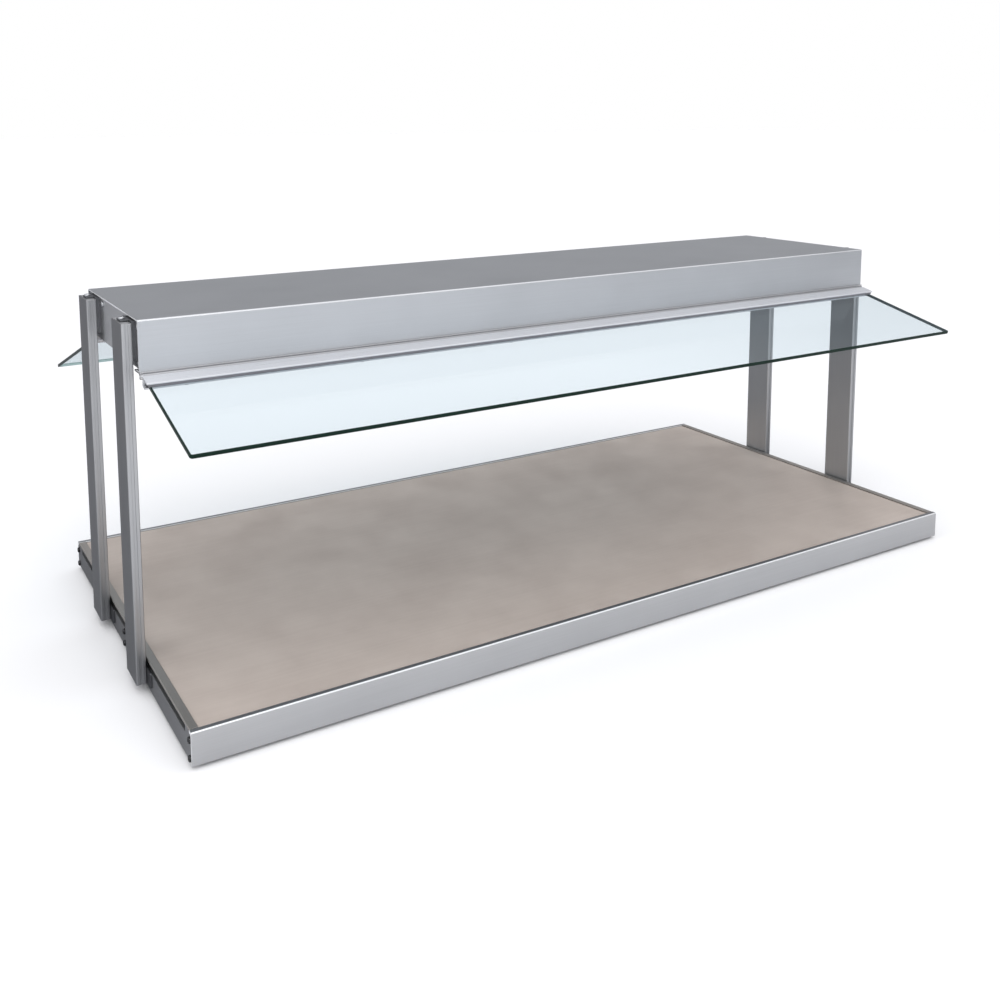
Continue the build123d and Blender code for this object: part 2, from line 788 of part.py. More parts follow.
# Leads in the base: cord to block, conduit to block, block to the heater
block_left = block_x - block_length / 2
block_right = block_x + block_length / 2
block_front = block_y - block_width / 2
block_lead_z = pan_top + block_height / 2
heater_lead_x = block_left - lead_loop
heater_lead_y = block_y - block_hole_spacing
base_routes = [
    (
        [(gland_inner, base_y + gland_y, gland_z), (block_right, base_y + gland_y, block_lead_z)],
        [(-1, 0, 0), (-1, 0, 0)],
    ),
    (
        [(conduit_lower_end, base_y + conduit_y, conduit_lower_z), (block_x, block_front, block_lead_z)],
        [(-1, 0, 0), (0, 1, 0)],
    ),
    (
        [(block_left, heater_lead_y, block_lead_z), (heater_lead_x, heater_lead_y, heater_bottom)],
        [(-1, 0, 0), (0, 0, 1)],
    ),
]
write(lead_set(base_routes, supply_lead_radius), "base_leads")

# Canopy skin: top, front and rear walls and a lip turned in along each lower edge
with BuildPart() as skin:
    with BuildSketch(long_section(1)) as profile:
        with Locations((0, canopy_bottom)):
            Rectangle(canopy_depth, canopy_height, align=(Align.CENTER, Align.MIN))
        for x in mirrored([canopy_half_depth]):
            fillet(profile.vertices().sort_by_distance((x, canopy_top))[0], skin_bend)
        hollow_height = canopy_height - 2 * skin_thickness
        with Locations((0, lip_top)):
            Rectangle(2 * skin_inner, hollow_height, align=(Align.CENTER, Align.MIN), mode=Mode.SUBTRACT)
        with Locations((0, canopy_bottom)):
            mouth = 2 * (canopy_half_depth - skin_lip)
            Rectangle(mouth, skin_thickness, align=(Align.CENTER, Align.MIN), mode=Mode.SUBTRACT)
    extrude(amount=canopy_half, both=True)
    with BuildSketch(Plane(origin=(0, base_y, canopy_bottom))):
        for y in mirrored([rivet_y]):
            with Locations((0, y)):
                with GridLocations(rivet_pitch, 1, rivet_count, 1):
                    Circle(rivet_radius + screw_clearance)
    extrude(amount=skin_thickness, mode=Mode.SUBTRACT)
write(skin.part, "canopy_skin")

# Canopy end plates: a web inside the skin with flanges turned inward. The right one has
# the openings for the controls between the posts.
control_z = canopy_bottom + control_height
for name, end in ends.items():
    with BuildPart() as plate:
        with BuildSketch(end_face(end, canopy_plate_out)):
            with Locations((0, lip_top)):
                Rectangle(2 * skin_inner, skin_under - lip_top, align=(Align.CENTER, Align.MIN))
        extrude(amount=-canopy_plate_thickness)
        with BuildSketch(end_face(end, canopy_plate_in)):
            with Locations((0, lip_top)):
                Rectangle(2 * skin_inner, skin_under - lip_top, align=(Align.CENTER, Align.MIN))
                inner_width = 2 * (skin_inner - canopy_plate_thickness)
                inner_height = skin_under - canopy_plate_thickness - lip_top
                Rectangle(inner_width, inner_height, align=(Align.CENTER, Align.MIN), mode=Mode.SUBTRACT)
        extrude(amount=-canopy_flange)
        with BuildSketch(end_face(end, canopy_plate_out)):
            with Locations(*(canopy_screws + upper_bolts)):
                Circle(screw_hole)
        extrude(amount=-canopy_plate_thickness, mode=Mode.SUBTRACT)
        if name == "right":
            with BuildSketch(end_face(end, canopy_plate_out)):
                with Locations((switch_y, control_z)):
                    Rectangle(switch_body_width + slip, switch_body_height + slip)
                with Locations((thermostat_y, control_z), (element_control_y, control_z)):
                    Circle(bush_radius + slip)
                with Locations((lamp_y, control_z)):
                    Circle(lamp_radius + slip)
            extrude(amount=-canopy_plate_thickness, mode=Mode.SUBTRACT)
            with BuildSketch(end_face(end, canopy_plate_out)):
                with Locations(*conduit_slot_points):
                    Rectangle(conduit_slot_width, conduit_slot_height)
            extrude(amount=-canopy_plate_thickness, mode=Mode.SUBTRACT)
    write(plate.part, f"{name}_canopy_end_plate")

canopy_screw_planes = []
for end in ends.values():
    canopy_screw_planes += on_face(end_face(end, canopy_plate_out), canopy_screws)
write(placed(pan_screw(canopy_screw_length), canopy_screw_planes), "canopy_end_screws")

# Bulkhead between the element space and the wiring bay, with holes for the elements' cold ends
element_legs = [
    side * reflector_centre + dy
    for side in sides.values()
    for dy in mirrored([element_leg])
]
with BuildPart() as bulkhead:
    with BuildSketch(end_face(1, bulkhead_out)):
        with Locations((0, lip_top)):
            Rectangle(2 * skin_inner, skin_under - lip_top, align=(Align.CENTER, Align.MIN))
        with Locations(*[(y, element_z) for y in element_legs]):
            Circle(element_radius + slip / 2, mode=Mode.SUBTRACT)
    extrude(amount=-bulkhead_thickness)
write(bulkhead.part, "wiring_bulkhead")

# Centre rail: a T strip between the two reflectors, from the left end plate to the bulkhead
centre_rail_length = bulkhead_in + canopy_plate_in
with BuildPart() as centre_rail:
    with BuildSketch(Plane(origin=(-canopy_plate_in, base_y, 0), x_dir=(0, 1, 0), z_dir=(1, 0, 0))):
        with Locations((0, canopy_bottom)):
            Rectangle(centre_rail_width, centre_rail_thickness, align=(Align.CENTER, Align.MIN))
            Rectangle(centre_rail_web, centre_rail_height, align=(Align.CENTER, Align.MIN))
    extrude(amount=centre_rail_length)
write(centre_rail.part, "reflector_centre_rail")

# Reflectors: bright troughs open downward, resting on the skin's lip and the centre rail
reflector_left = -(canopy_plate_in - canopy_flange - 1)
reflector_right = bulkhead_in - slip
reflector_base = canopy_bottom + skin_thickness
half_mouth = reflector_half_mouth
half_top = reflector_half_top
for name, side in sides.items():
    with BuildPart() as reflector:
        start = Plane(
            origin=(reflector_left if side > 0 else reflector_right, base_y + side * reflector_centre, 0),
            x_dir=(0, side, 0),
            z_dir=(side, 0, 0),
        )
        with BuildSketch(start):
            with BuildLine():
                Polyline(
                    (-half_mouth - reflector_lip, reflector_base),
                    (-half_mouth, reflector_base),
                    (-half_top, reflector_top - reflector_sheet),
                    (half_top, reflector_top - reflector_sheet),
                    (half_mouth, reflector_base),
                    (half_mouth + reflector_lip, reflector_base),
                    (half_mouth + reflector_lip, reflector_base + reflector_sheet),
                    (half_mouth + reflector_sheet / 2, reflector_base + reflector_sheet),
                    (half_top + reflector_sheet / 2, reflector_top),
                    (-half_top - reflector_sheet / 2, reflector_top),
                    (-half_mouth - reflector_sheet / 2, reflector_base + reflector_sheet),
                    (-half_mouth - reflector_lip, reflector_base + reflector_sheet),
                    close=True,
                )
            make_face()
        extrude(amount=reflector_right - reflector_left)
    write(reflector.part, f"{name}_reflector")

# Metal-sheathed hairpin elements, with a terminal pin at each end of the tube
leg = element_leg
for name, side in sides.items():
    middle = base_y + side * reflector_centre
    tube_end = bulkhead_out + element_cold_end
    with BuildPart() as element:
        with BuildLine() as route:
            Line((tube_end, middle - leg, element_z), (element_left + leg, middle - leg, element_z))
            ThreePointArc(
                (element_left + leg, middle - leg, element_z),
                (element_left, middle, element_z),
                (element_left + leg, middle + leg, element_z),
            )
            Line((element_left + leg, middle + leg, element_z), (tube_end, middle + leg, element_z))
        with BuildSketch(Plane(origin=(tube_end, middle - leg, element_z), z_dir=(-1, 0, 0))):
            Circle(element_radius)
        sweep(path=route.wire())
        with BuildSketch(Plane(origin=(tube_end, middle, element_z), z_dir=(1, 0, 0))):
            with Locations((0, -leg), (0, leg)):
                Circle(element_pin_radius)
        extrude(amount=element_pin_length)
    write(element.part, f"{name}_heating_element")

# Support plates hang from the reflectors and hold both legs of an element
support_top = reflector_top - reflector_sheet
support_bottom = element_z - element_radius - support_below
support_first = element_left + leg + support_margin
support_last = bulkhead_in - support_margin
support_pitch = (support_last - support_first) / (support_count - 1)
with BuildPart() as supports:
    for side in sides.values():
        for index in range(support_count):
            x = support_first + index * support_pitch
            middle = base_y + side * reflector_centre
            with BuildSketch(Plane(origin=(x, middle, 0), x_dir=(0, 1, 0), z_dir=(1, 0, 0))):
                with Locations((0, support_bottom)):
                    width = 2 * (reflector_half_top - support_side_gap)
                    Rectangle(width, support_top - support_bottom, align=(Align.CENTER, Align.MIN))
                with Locations((-leg, element_z), (leg, element_z)):
                    Circle(element_radius + slip / 2, mode=Mode.SUBTRACT)
            extrude(amount=support_thickness)
write(supports.part, "element_supports")

# Insulation between the reflectors and the top of the skin
blanket_half = reflector_centre + reflector_half_top
with BuildPart() as blanket:
    with BuildSketch(Plane(origin=((reflector_left + reflector_right) / 2, base_y, reflector_top))):
        Rectangle(reflector_right - reflector_left, 2 * blanket_half)
    extrude(amount=skin_under - reflector_top)
write(blanket.part, "canopy_insulation")

# Rocker switch housing: bezel outside, body through the plate, a pocket for the rocker
bezel_face = canopy_plate_out + switch_bezel_thickness
pivot_x = bezel_face - rocker_pivot_depth
pocket_width = switch_body_width - 2 * switch_wall
pocket_height = switch_body_height - 2 * switch_wall
pivot_plane = Plane(origin=(pivot_x, base_y + switch_y, control_z), x_dir=(1, 0, 0), z_dir=(0, -1, 0))
with BuildPart() as housing:
    with BuildSketch(end_face(1, canopy_plate_out)):
        with Locations((switch_y, control_z)):
            RectangleRounded(switch_bezel_width, switch_bezel_height, 1.5)
    extrude(amount=switch_bezel_thickness)
    with BuildSketch(end_face(1, canopy_plate_out)):
        with Locations((switch_y, control_z)):
            Rectangle(switch_body_width, switch_body_height)
    extrude(amount=-switch_body_depth)
    with BuildSketch(end_face(1, bezel_face)):
        with Locations((switch_y, control_z)):
            Rectangle(pocket_width, pocket_height)
    extrude(amount=-rocker_pocket_depth, mode=Mode.SUBTRACT)
    with BuildSketch(pivot_plane):
        Circle(rocker_pin_radius + rocker_pin_clearance)
    pin_reach = pocket_width / 2 + rocker_pin_length
    extrude(amount=pin_reach, both=True, mode=Mode.SUBTRACT)
write(housing.part, "switch_housing")

# Rocker: two facets that meet in a shallow valley, tipped with its upper half pressed in
rocker_half = pocket_height / 2 - rocker_end_gap
rocker_half_width = pocket_width / 2 - rocker_clearance
tip = radians(rocker_tilt)
rocker_plane = Plane(
    origin=(pivot_x, base_y + switch_y, control_z),
    x_dir=(cos(tip), 0, sin(tip)),
    z_dir=(0, -1, 0),
)
facet = rocker_pivot_depth + rocker_proud
with BuildPart() as rocker:
    with BuildSketch(rocker_plane):
        with BuildLine():
            Polyline(
                (-rocker_back, -rocker_half + rocker_bevel),
                (0, -rocker_half),
                (facet - rocker_shoulder, -rocker_half),
                (facet - rocker_valley, 0),
                (facet - rocker_shoulder, rocker_half),
                (0, rocker_half),
                (-rocker_back, rocker_half - rocker_bevel),
                close=True,
            )
        make_face()
    extrude(amount=rocker_half_width, both=True)
    with BuildSketch(rocker_plane):
        Circle(rocker_pin_radius)
    extrude(amount=rocker_half_width + rocker_pin_length, both=True)
write(rocker.part, "power_rocker")

# Infinite control for the elements and thermostat for the shelf: body, bush, shaft and knob
controls = {
    "element": ("element_control", element_control_y, element_control_width),
    "thermostat": ("thermostat", thermostat_y, thermostat_width),
}
for knob_name, (control_name, y, width) in controls.items():
    with BuildPart() as body:
        with BuildSketch(end_face(1, canopy_plate_in)):
            with Locations((y, control_z)):
                RectangleRounded(width, control_body_height, control_body_corner)
        extrude(amount=-control_body_depth)
        with BuildSketch(end_face(1, canopy_plate_in)):
            with Locations((y, control_z)):
                Circle(bush_radius)
        extrude(amount=bush_length)
        with BuildSketch(end_face(1, canopy_plate_in + bush_length)):
            with Locations((y, control_z)):
                Circle(shaft_radius + shaft_clearance)
        extrude(amount=-(bush_length + shaft_seat), mode=Mode.SUBTRACT)
    write(body.part, f"{control_name}_body")

    shaft_start = canopy_plate_in - shaft_seat + slip
    with BuildPart() as shaft:
        with BuildSketch(end_face(1, shaft_start)):
            with Locations((y, control_z)):
                Circle(shaft_radius)
        extrude(amount=shaft_length)
        flat_start = canopy_plate_in + bush_length + knob_gap
        with BuildSketch(end_face(1, flat_start)):
            with Locations((y, control_z + shaft_radius - knob_flat)):
                Rectangle(2 * shaft_radius, 2 * knob_flat, align=(Align.CENTER, Align.MIN))
        extrude(amount=shaft_start + shaft_length - flat_start, mode=Mode.SUBTRACT)
    write(shaft.part, f"{control_name}_shaft")

    knob_start = canopy_plate_in + bush_length + knob_gap
    with BuildPart() as knob:
        with BuildSketch(end_face(1, knob_start)):
            with Locations((y, control_z)):
                Circle(knob_radius)
        extrude(amount=knob_skirt)
        with BuildSketch(end_face(1, knob_start + knob_skirt)):
            with Locations((y, control_z)):
                Circle(knob_cap_radius)
        extrude(amount=0.3 * (knob_height - knob_skirt), taper=8)
        with BuildSketch(end_face(1, knob_start + knob_skirt)):
            with Locations((y, control_z)):
                SlotOverall(2 * (knob_radius - knob_grip_inset), knob_grip_width, rotation=90)
        extrude(amount=knob_height - knob_skirt, taper=4)
        with BuildSketch(end_face(1, knob_start)):
            with Locations((y, control_z)):
                Circle(shaft_radius + knob_bore_clearance)
            flat_z = control_z + shaft_radius - knob_flat + knob_bore_clearance
            with Locations((y, flat_z)):
                key = (3 * shaft_radius, 2 * knob_flat)
                Rectangle(*key, align=(Align.CENTER, Align.MIN), mode=Mode.SUBTRACT)
        bore_depth = shaft_start + shaft_length - knob_start + slip
        extrude(amount=bore_depth, mode=Mode.SUBTRACT)
    write(knob.part, f"{knob_name}_knob")

# Indicator lamp: bezel, domed lens and a body behind the plate
with BuildPart() as lamp:
    with BuildSketch(end_face(1, canopy_plate_out)):
        with Locations((lamp_y, control_z)):
            Circle(lamp_bezel_radius)
    extrude(amount=lamp_bezel_thickness)
    with BuildSketch(end_face(1, canopy_plate_out)):
        with Locations((lamp_y, control_z)):
            Circle(lamp_radius)
    extrude(amount=lamp_bezel_thickness + lamp_dome)
    fillet(lamp.faces().sort_by(Axis.X)[-1].edges(), lamp_dome_radius)
    with BuildSketch(end_face(1, canopy_plate_out)):
        with Locations((lamp_y, control_z)):
            Circle(lamp_radius)
    extrude(amount=-lamp_depth)
write(lamp.part, "indicator_lamp")

# Leads in the wiring bay, from the elements' pins and the conduit to the controls
legs = sorted(element_legs)
control_back = canopy_plate_in - control_body_depth
switch_back = canopy_plate_out - switch_body_depth
element_side = element_control_y + element_control_width / 2
switch_side = switch_y - switch_body_width / 2
thermostat_lead_y = thermostat_y + thermostat_width / 4
loop_x = control_back - lead_loop
loop_y = (conduit_y + thermostat_lead_y) / 2
switch_lead_x = switch_back + side_terminal
element_lead_x = control_back + side_terminal
to_right = (1, 0, 0)
canopy_routes = [
    (
        [(pin_end, base_y + legs[2], element_z), (control_back, base_y + element_control_y, element_z)],
        [to_right, to_right],
    ),
    (
        [(pin_end, base_y + legs[3], element_z), (element_lead_x, base_y + element_side, element_z)],
        [to_right, (0, -1, 0)],
    ),
    (
        [(pin_end, base_y + legs[1], element_z), (switch_back, base_y + switch_y, element_z)],
        [to_right, to_right],
    ),
    (
        [(pin_end, base_y + legs[0], element_z), (switch_lead_x, base_y + switch_side, element_z)],
        [to_right, (0, 1, 0)],
    ),
    (
        [
            (conduit_upper_end, base_y + conduit_y, conduit_upper_z),
            (loop_x, base_y + loop_y, conduit_upper_z),
            (control_back, base_y + thermostat_lead_y, conduit_upper_z),
        ],
        [(-1, 0, 0), to_right],
    ),
]
write(lead_set(canopy_routes, lead_radius), "canopy_leads")

# Hinge rails: a leaf riveted under the skin's lip and a socket that wraps the holder's bead
for name, (side, tilt, reach) in guards.items():
    hinge_plane = guard_section(side, 0)
    mouth_low = radians(-tilt - swing_margin)
    mouth_high = radians(-tilt + guard_lift + swing_margin)
    mouth_mid = (mouth_low + mouth_high) / 2
    far = 3 * socket_radius
    with BuildPart() as hinge_rail:
        with BuildSketch(hinge_plane):
            Circle(socket_radius)
            with Locations((-bead_radius, hinge_below)):
                Rectangle(leaf_reach - bead_radius, leaf_thickness, align=(Align.MAX, Align.MAX))
            Circle(bead_radius + bead_clearance, mode=Mode.SUBTRACT)
            with BuildLine():
                Polyline(
                    (0, 0),
                    (far * cos(mouth_low), far * sin(mouth_low)),
                    (far * cos(mouth_mid), far * sin(mouth_mid)),
                    (far * cos(mouth_high), far * sin(mouth_high)),
                    close=True,
                )
            make_face(mode=Mode.SUBTRACT)
        extrude(amount=canopy_half, both=True)
        with BuildSketch(Plane(origin=(0, base_y + side * rivet_y, canopy_bottom))):
            with GridLocations(rivet_pitch, 1, rivet_count, 1):
                Circle(rivet_radius + screw_clearance)
        extrude(amount=-leaf_thickness, mode=Mode.SUBTRACT)
    write(hinge_rail.part, f"{name}_hinge_rail")

# Rivets: heads under the leaves, shanks up through the skin's lip
rivet_base = canopy_bottom - leaf_thickness
with BuildPart() as rivets:
    for side in sides.values():
        with BuildSketch(Plane(origin=(0, base_y + side * rivet_y, rivet_base))):
            with GridLocations(rivet_pitch, 1, rivet_count, 1):
                Circle(rivet_radius)
        extrude(amount=leaf_thickness + skin_thickness)
        with BuildSketch(Plane(origin=(0, base_y + side * rivet_y, rivet_base))):
            with GridLocations(rivet_pitch, 1, rivet_count, 1):
                Circle(rivet_head_radius)
        extrude(amount=-rivet_head_height, taper=30)
write(rivets.part, "hinge_rail_rivets")

# Glass holders: a bead on a neck, a back and two jaws round the gasket. The gasket's thick seal
# lies between the upper jaw and the glass, out to the jaw's nose.
for name, (side, tilt, reach) in guards.items():
    section = guard_section(side, tilt)
    with BuildPart() as holder:
        with BuildSketch(section) as profile:
            with Locations((holder_start, holder_top)):
                Rectangle(holder_length, upper_jaw, align=(Align.MIN, Align.MAX))
                Rectangle(holder_back, holder_top - holder_bottom, align=(Align.MIN, Align.MAX))
            with Locations((holder_start, holder_bottom)):
                Rectangle(holder_length - lower_jaw_setback, lower_jaw, align=(Align.MIN, Align.MIN))
            edge = profile.vertices().sort_by_distance((holder_end, holder_top))[0]
            fillet(edge, holder_edge_radius)
            heel = profile.vertices().sort_by_distance((holder_start, holder_bottom))[0]
            fillet(heel, holder_heel_radius)
            Circle(bead_radius)
            Rectangle(holder_start + 1, neck_thickness, align=(Align.MIN, Align.CENTER))
        extrude(amount=canopy_half - holder_inset, both=True)
        clamp_u = slot_start + clamp_head_radius
        clamp_face = Plane(
            origin=section.from_local_coords((clamp_u, holder_bottom, 0)),
            x_dir=(1, 0, 0),
            z_dir=section.y_dir,
        )
        with BuildSketch(clamp_face):
            with GridLocations(clamp_pitch, 1, clamp_count, 1):
                Circle(screw_hole)
        extrude(amount=lower_jaw, mode=Mode.SUBTRACT)
    write(holder.part, f"{name}_glass_holder")

    with BuildPart() as gasket:
        with BuildSketch(section):
            with Locations((slot_start, slot_top)):
                jaw_depth = holder_length - holder_back - lower_jaw_setback
                Rectangle(jaw_depth, slot_top - slot_bottom, align=(Align.MIN, Align.MAX))
                Rectangle(holder_end - slot_start, seal_thickness, align=(Align.MIN, Align.MAX))
            with Locations((glass_start, glass_top)):
                Rectangle(holder_length, glass_thickness, align=(Align.MIN, Align.MAX), mode=Mode.SUBTRACT)
        extrude(amount=canopy_half - gasket_inset, both=True)
    write(gasket.part, f"{name}_glass_gasket")

    pane_plane = Plane(
        origin=section.from_local_coords((glass_start, glass_bottom, 0)),
        x_dir=(1, 0, 0),
        z_dir=section.y_dir,
    )
    pane_depth = reach - glass_start
    pane_centre = pane_depth / 2 if pane_plane.y_dir.dot(section.x_dir) > 0 else -pane_depth / 2
    with BuildPart() as pane:
        with BuildSketch(pane_plane):
            with Locations((0, pane_centre)):
                RectangleRounded(glass_length, pane_depth, glass_corner)
        extrude(amount=glass_thickness)
        broad_faces = pane.faces().sort_by(SortBy.AREA)[-2:]
        chamfer(broad_faces.edges(), glass_seam)
    write(pane.part, f"{name}_glass")

    with BuildPart() as clamps:
        with BuildSketch(clamp_face):
            with GridLocations(clamp_pitch, 1, clamp_count, 1):
                Circle(screw_radius)
        extrude(amount=lower_jaw)
        with BuildSketch(clamp_face):
            with GridLocations(clamp_pitch, 1, clamp_count, 1):
                Circle(clamp_head_radius)
                RegularPolygon(0.5 * clamp_head_radius, 6, mode=Mode.SUBTRACT)
        extrude(amount=-clamp_head_height)
    write(clamps.part, f"{name}_clamp_screws")
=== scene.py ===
import json
import math

import bmesh
import bpy
from mathutils import Matrix, Vector


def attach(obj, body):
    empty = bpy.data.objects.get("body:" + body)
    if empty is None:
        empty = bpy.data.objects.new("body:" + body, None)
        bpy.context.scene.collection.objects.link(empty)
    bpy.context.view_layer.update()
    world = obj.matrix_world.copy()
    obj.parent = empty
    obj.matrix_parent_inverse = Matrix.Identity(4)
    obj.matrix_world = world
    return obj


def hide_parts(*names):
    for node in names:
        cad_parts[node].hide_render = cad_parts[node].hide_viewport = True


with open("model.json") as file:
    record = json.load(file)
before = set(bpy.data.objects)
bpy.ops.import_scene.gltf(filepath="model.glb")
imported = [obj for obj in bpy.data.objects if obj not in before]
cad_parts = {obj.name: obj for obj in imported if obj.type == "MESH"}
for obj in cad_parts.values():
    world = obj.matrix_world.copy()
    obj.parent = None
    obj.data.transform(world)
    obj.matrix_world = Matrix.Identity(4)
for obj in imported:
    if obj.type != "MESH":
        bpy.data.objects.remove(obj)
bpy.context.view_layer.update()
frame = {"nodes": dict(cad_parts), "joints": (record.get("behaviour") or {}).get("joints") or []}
nodes = frame["nodes"]
joints = {joint["name"]: joint for joint in frame["joints"]}
print("stage: frame loaded,", len(nodes), "nodes")

mm = 0.001  # the scene is in metres, and the dictionaries below give sizes in mm
squareOn = 0.99  # a face looks along an axis where more than this of its direction lies along it


def extent(name):
    # lowest and highest corner of a node
    corners = [Vector(corner) for corner in nodes[name].bound_box]
    return [min(c[i] for c in corners) for i in range(3)], [max(c[i] for c in corners) for i in range(3)]


# Colours and nodes

def hexToLinear(code):
    channels = [int(code[i:i + 2], 16) / 255 for i in (0, 2, 4)]
    linear = [c / 12.92 if c <= 0.04045 else ((c + 0.055) / 1.055) ** 2.4 for c in channels]
    return (*linear, 1.0)


def addNode(tree, kind, inputs=None, **settings):
    # inputs maps a socket's name or number to a value, or to another node's output
    node = tree.nodes.new("ShaderNode" + kind)
    for name, value in settings.items():
        setattr(node, name, value)
    for key, value in (inputs or {}).items():
        if isinstance(value, bpy.types.NodeSocket):
            tree.links.new(value, node.inputs[key])
        else:
            node.inputs[key].default_value = value
    return node


def newMaterial(name):
    material = bpy.data.materials.new(name)
    material.use_nodes = True
    material.node_tree.nodes.clear()
    return material, material.node_tree


# A noise keeps mostly to its middle, so this stretch of it is spread over two colours or shines
noiseLow, noiseHigh = 0.3, 0.7

# What every grained metal shares: patches of tone and depth of a scratch, in mm, and the stretch of
# the streaks' noise that is spread over the two roughnesses
metalGrain = {"patch": 111.1, "scratchDepth": 0.02, "shineLow": 0.25, "shineHigh": 0.75}


def grainMetal(name, look):
    # satin metal with fine scratches along one axis: they stretch every highlight across the
    # grain and let the tone wander a little from streak to streak
    material, tree = newMaterial(name)
    place = addNode(tree, "TexCoord").outputs["Object"]
    # streaks are drawn coarser than the real 0.1 mm scratches, or they wouldn't show
    streakWidth, streakLength = look["streak"]
    scales = [1 / (streakWidth * mm)] * 3
    scales["XYZ".index(look["grain"])] = 1 / (streakLength * mm)
    stretched = addNode(tree, "Mapping", {"Vector": place, "Scale": scales}).outputs[0]
    streaks = addNode(tree, "TexNoise", {"Vector": stretched, "Scale": 1.0, "Detail": 3.0, "Roughness": 0.6})
    patches = addNode(tree, "TexNoise", {
        "Vector": place, "Scale": 1 / (metalGrain["patch"] * mm), "Detail": 2.0})
    both = addNode(tree, "Mix", {"Factor": 0.5, "A": streaks.outputs["Fac"], "B": patches.outputs["Fac"]})
    tone = addNode(tree, "MapRange", {"Value": both.outputs[0], "From Min": noiseLow, "From Max": noiseHigh})
    dark, light = look["colours"]
    colour = addNode(tree, "Mix", {
        "Factor": tone.outputs[0], "A": hexToLinear(dark), "B": hexToLinear(light)}, data_type="RGBA")
    shine = addNode(tree, "MapRange", {
        "Value": streaks.outputs["Fac"], "From Min": metalGrain["shineLow"],
        "From Max": metalGrain["shineHigh"], "To Min": look["roughness"][0], "To Max": look["roughness"][1]})
    edge = addNode(tree, "Bevel", {"Radius": look["edge"] * mm}, samples=4)
    bump = addNode(tree, "Bump", {
        "Height": streaks.outputs["Fac"], "Strength": look["bump"],
        "Distance": metalGrain["scratchDepth"] * mm, "Normal": edge.outputs[0]})
    surface = addNode(tree, "BsdfPrincipled", {
        "Base Color": colour.outputs[2], "Metallic": look.get("metal", 1.0), "Roughness": shine.outputs[0],
        "Specular Tint": look["rim"], "Normal": bump.outputs[0]})
    addNode(tree, "OutputMaterial", {"Surface": surface.outputs[0]})
    return material


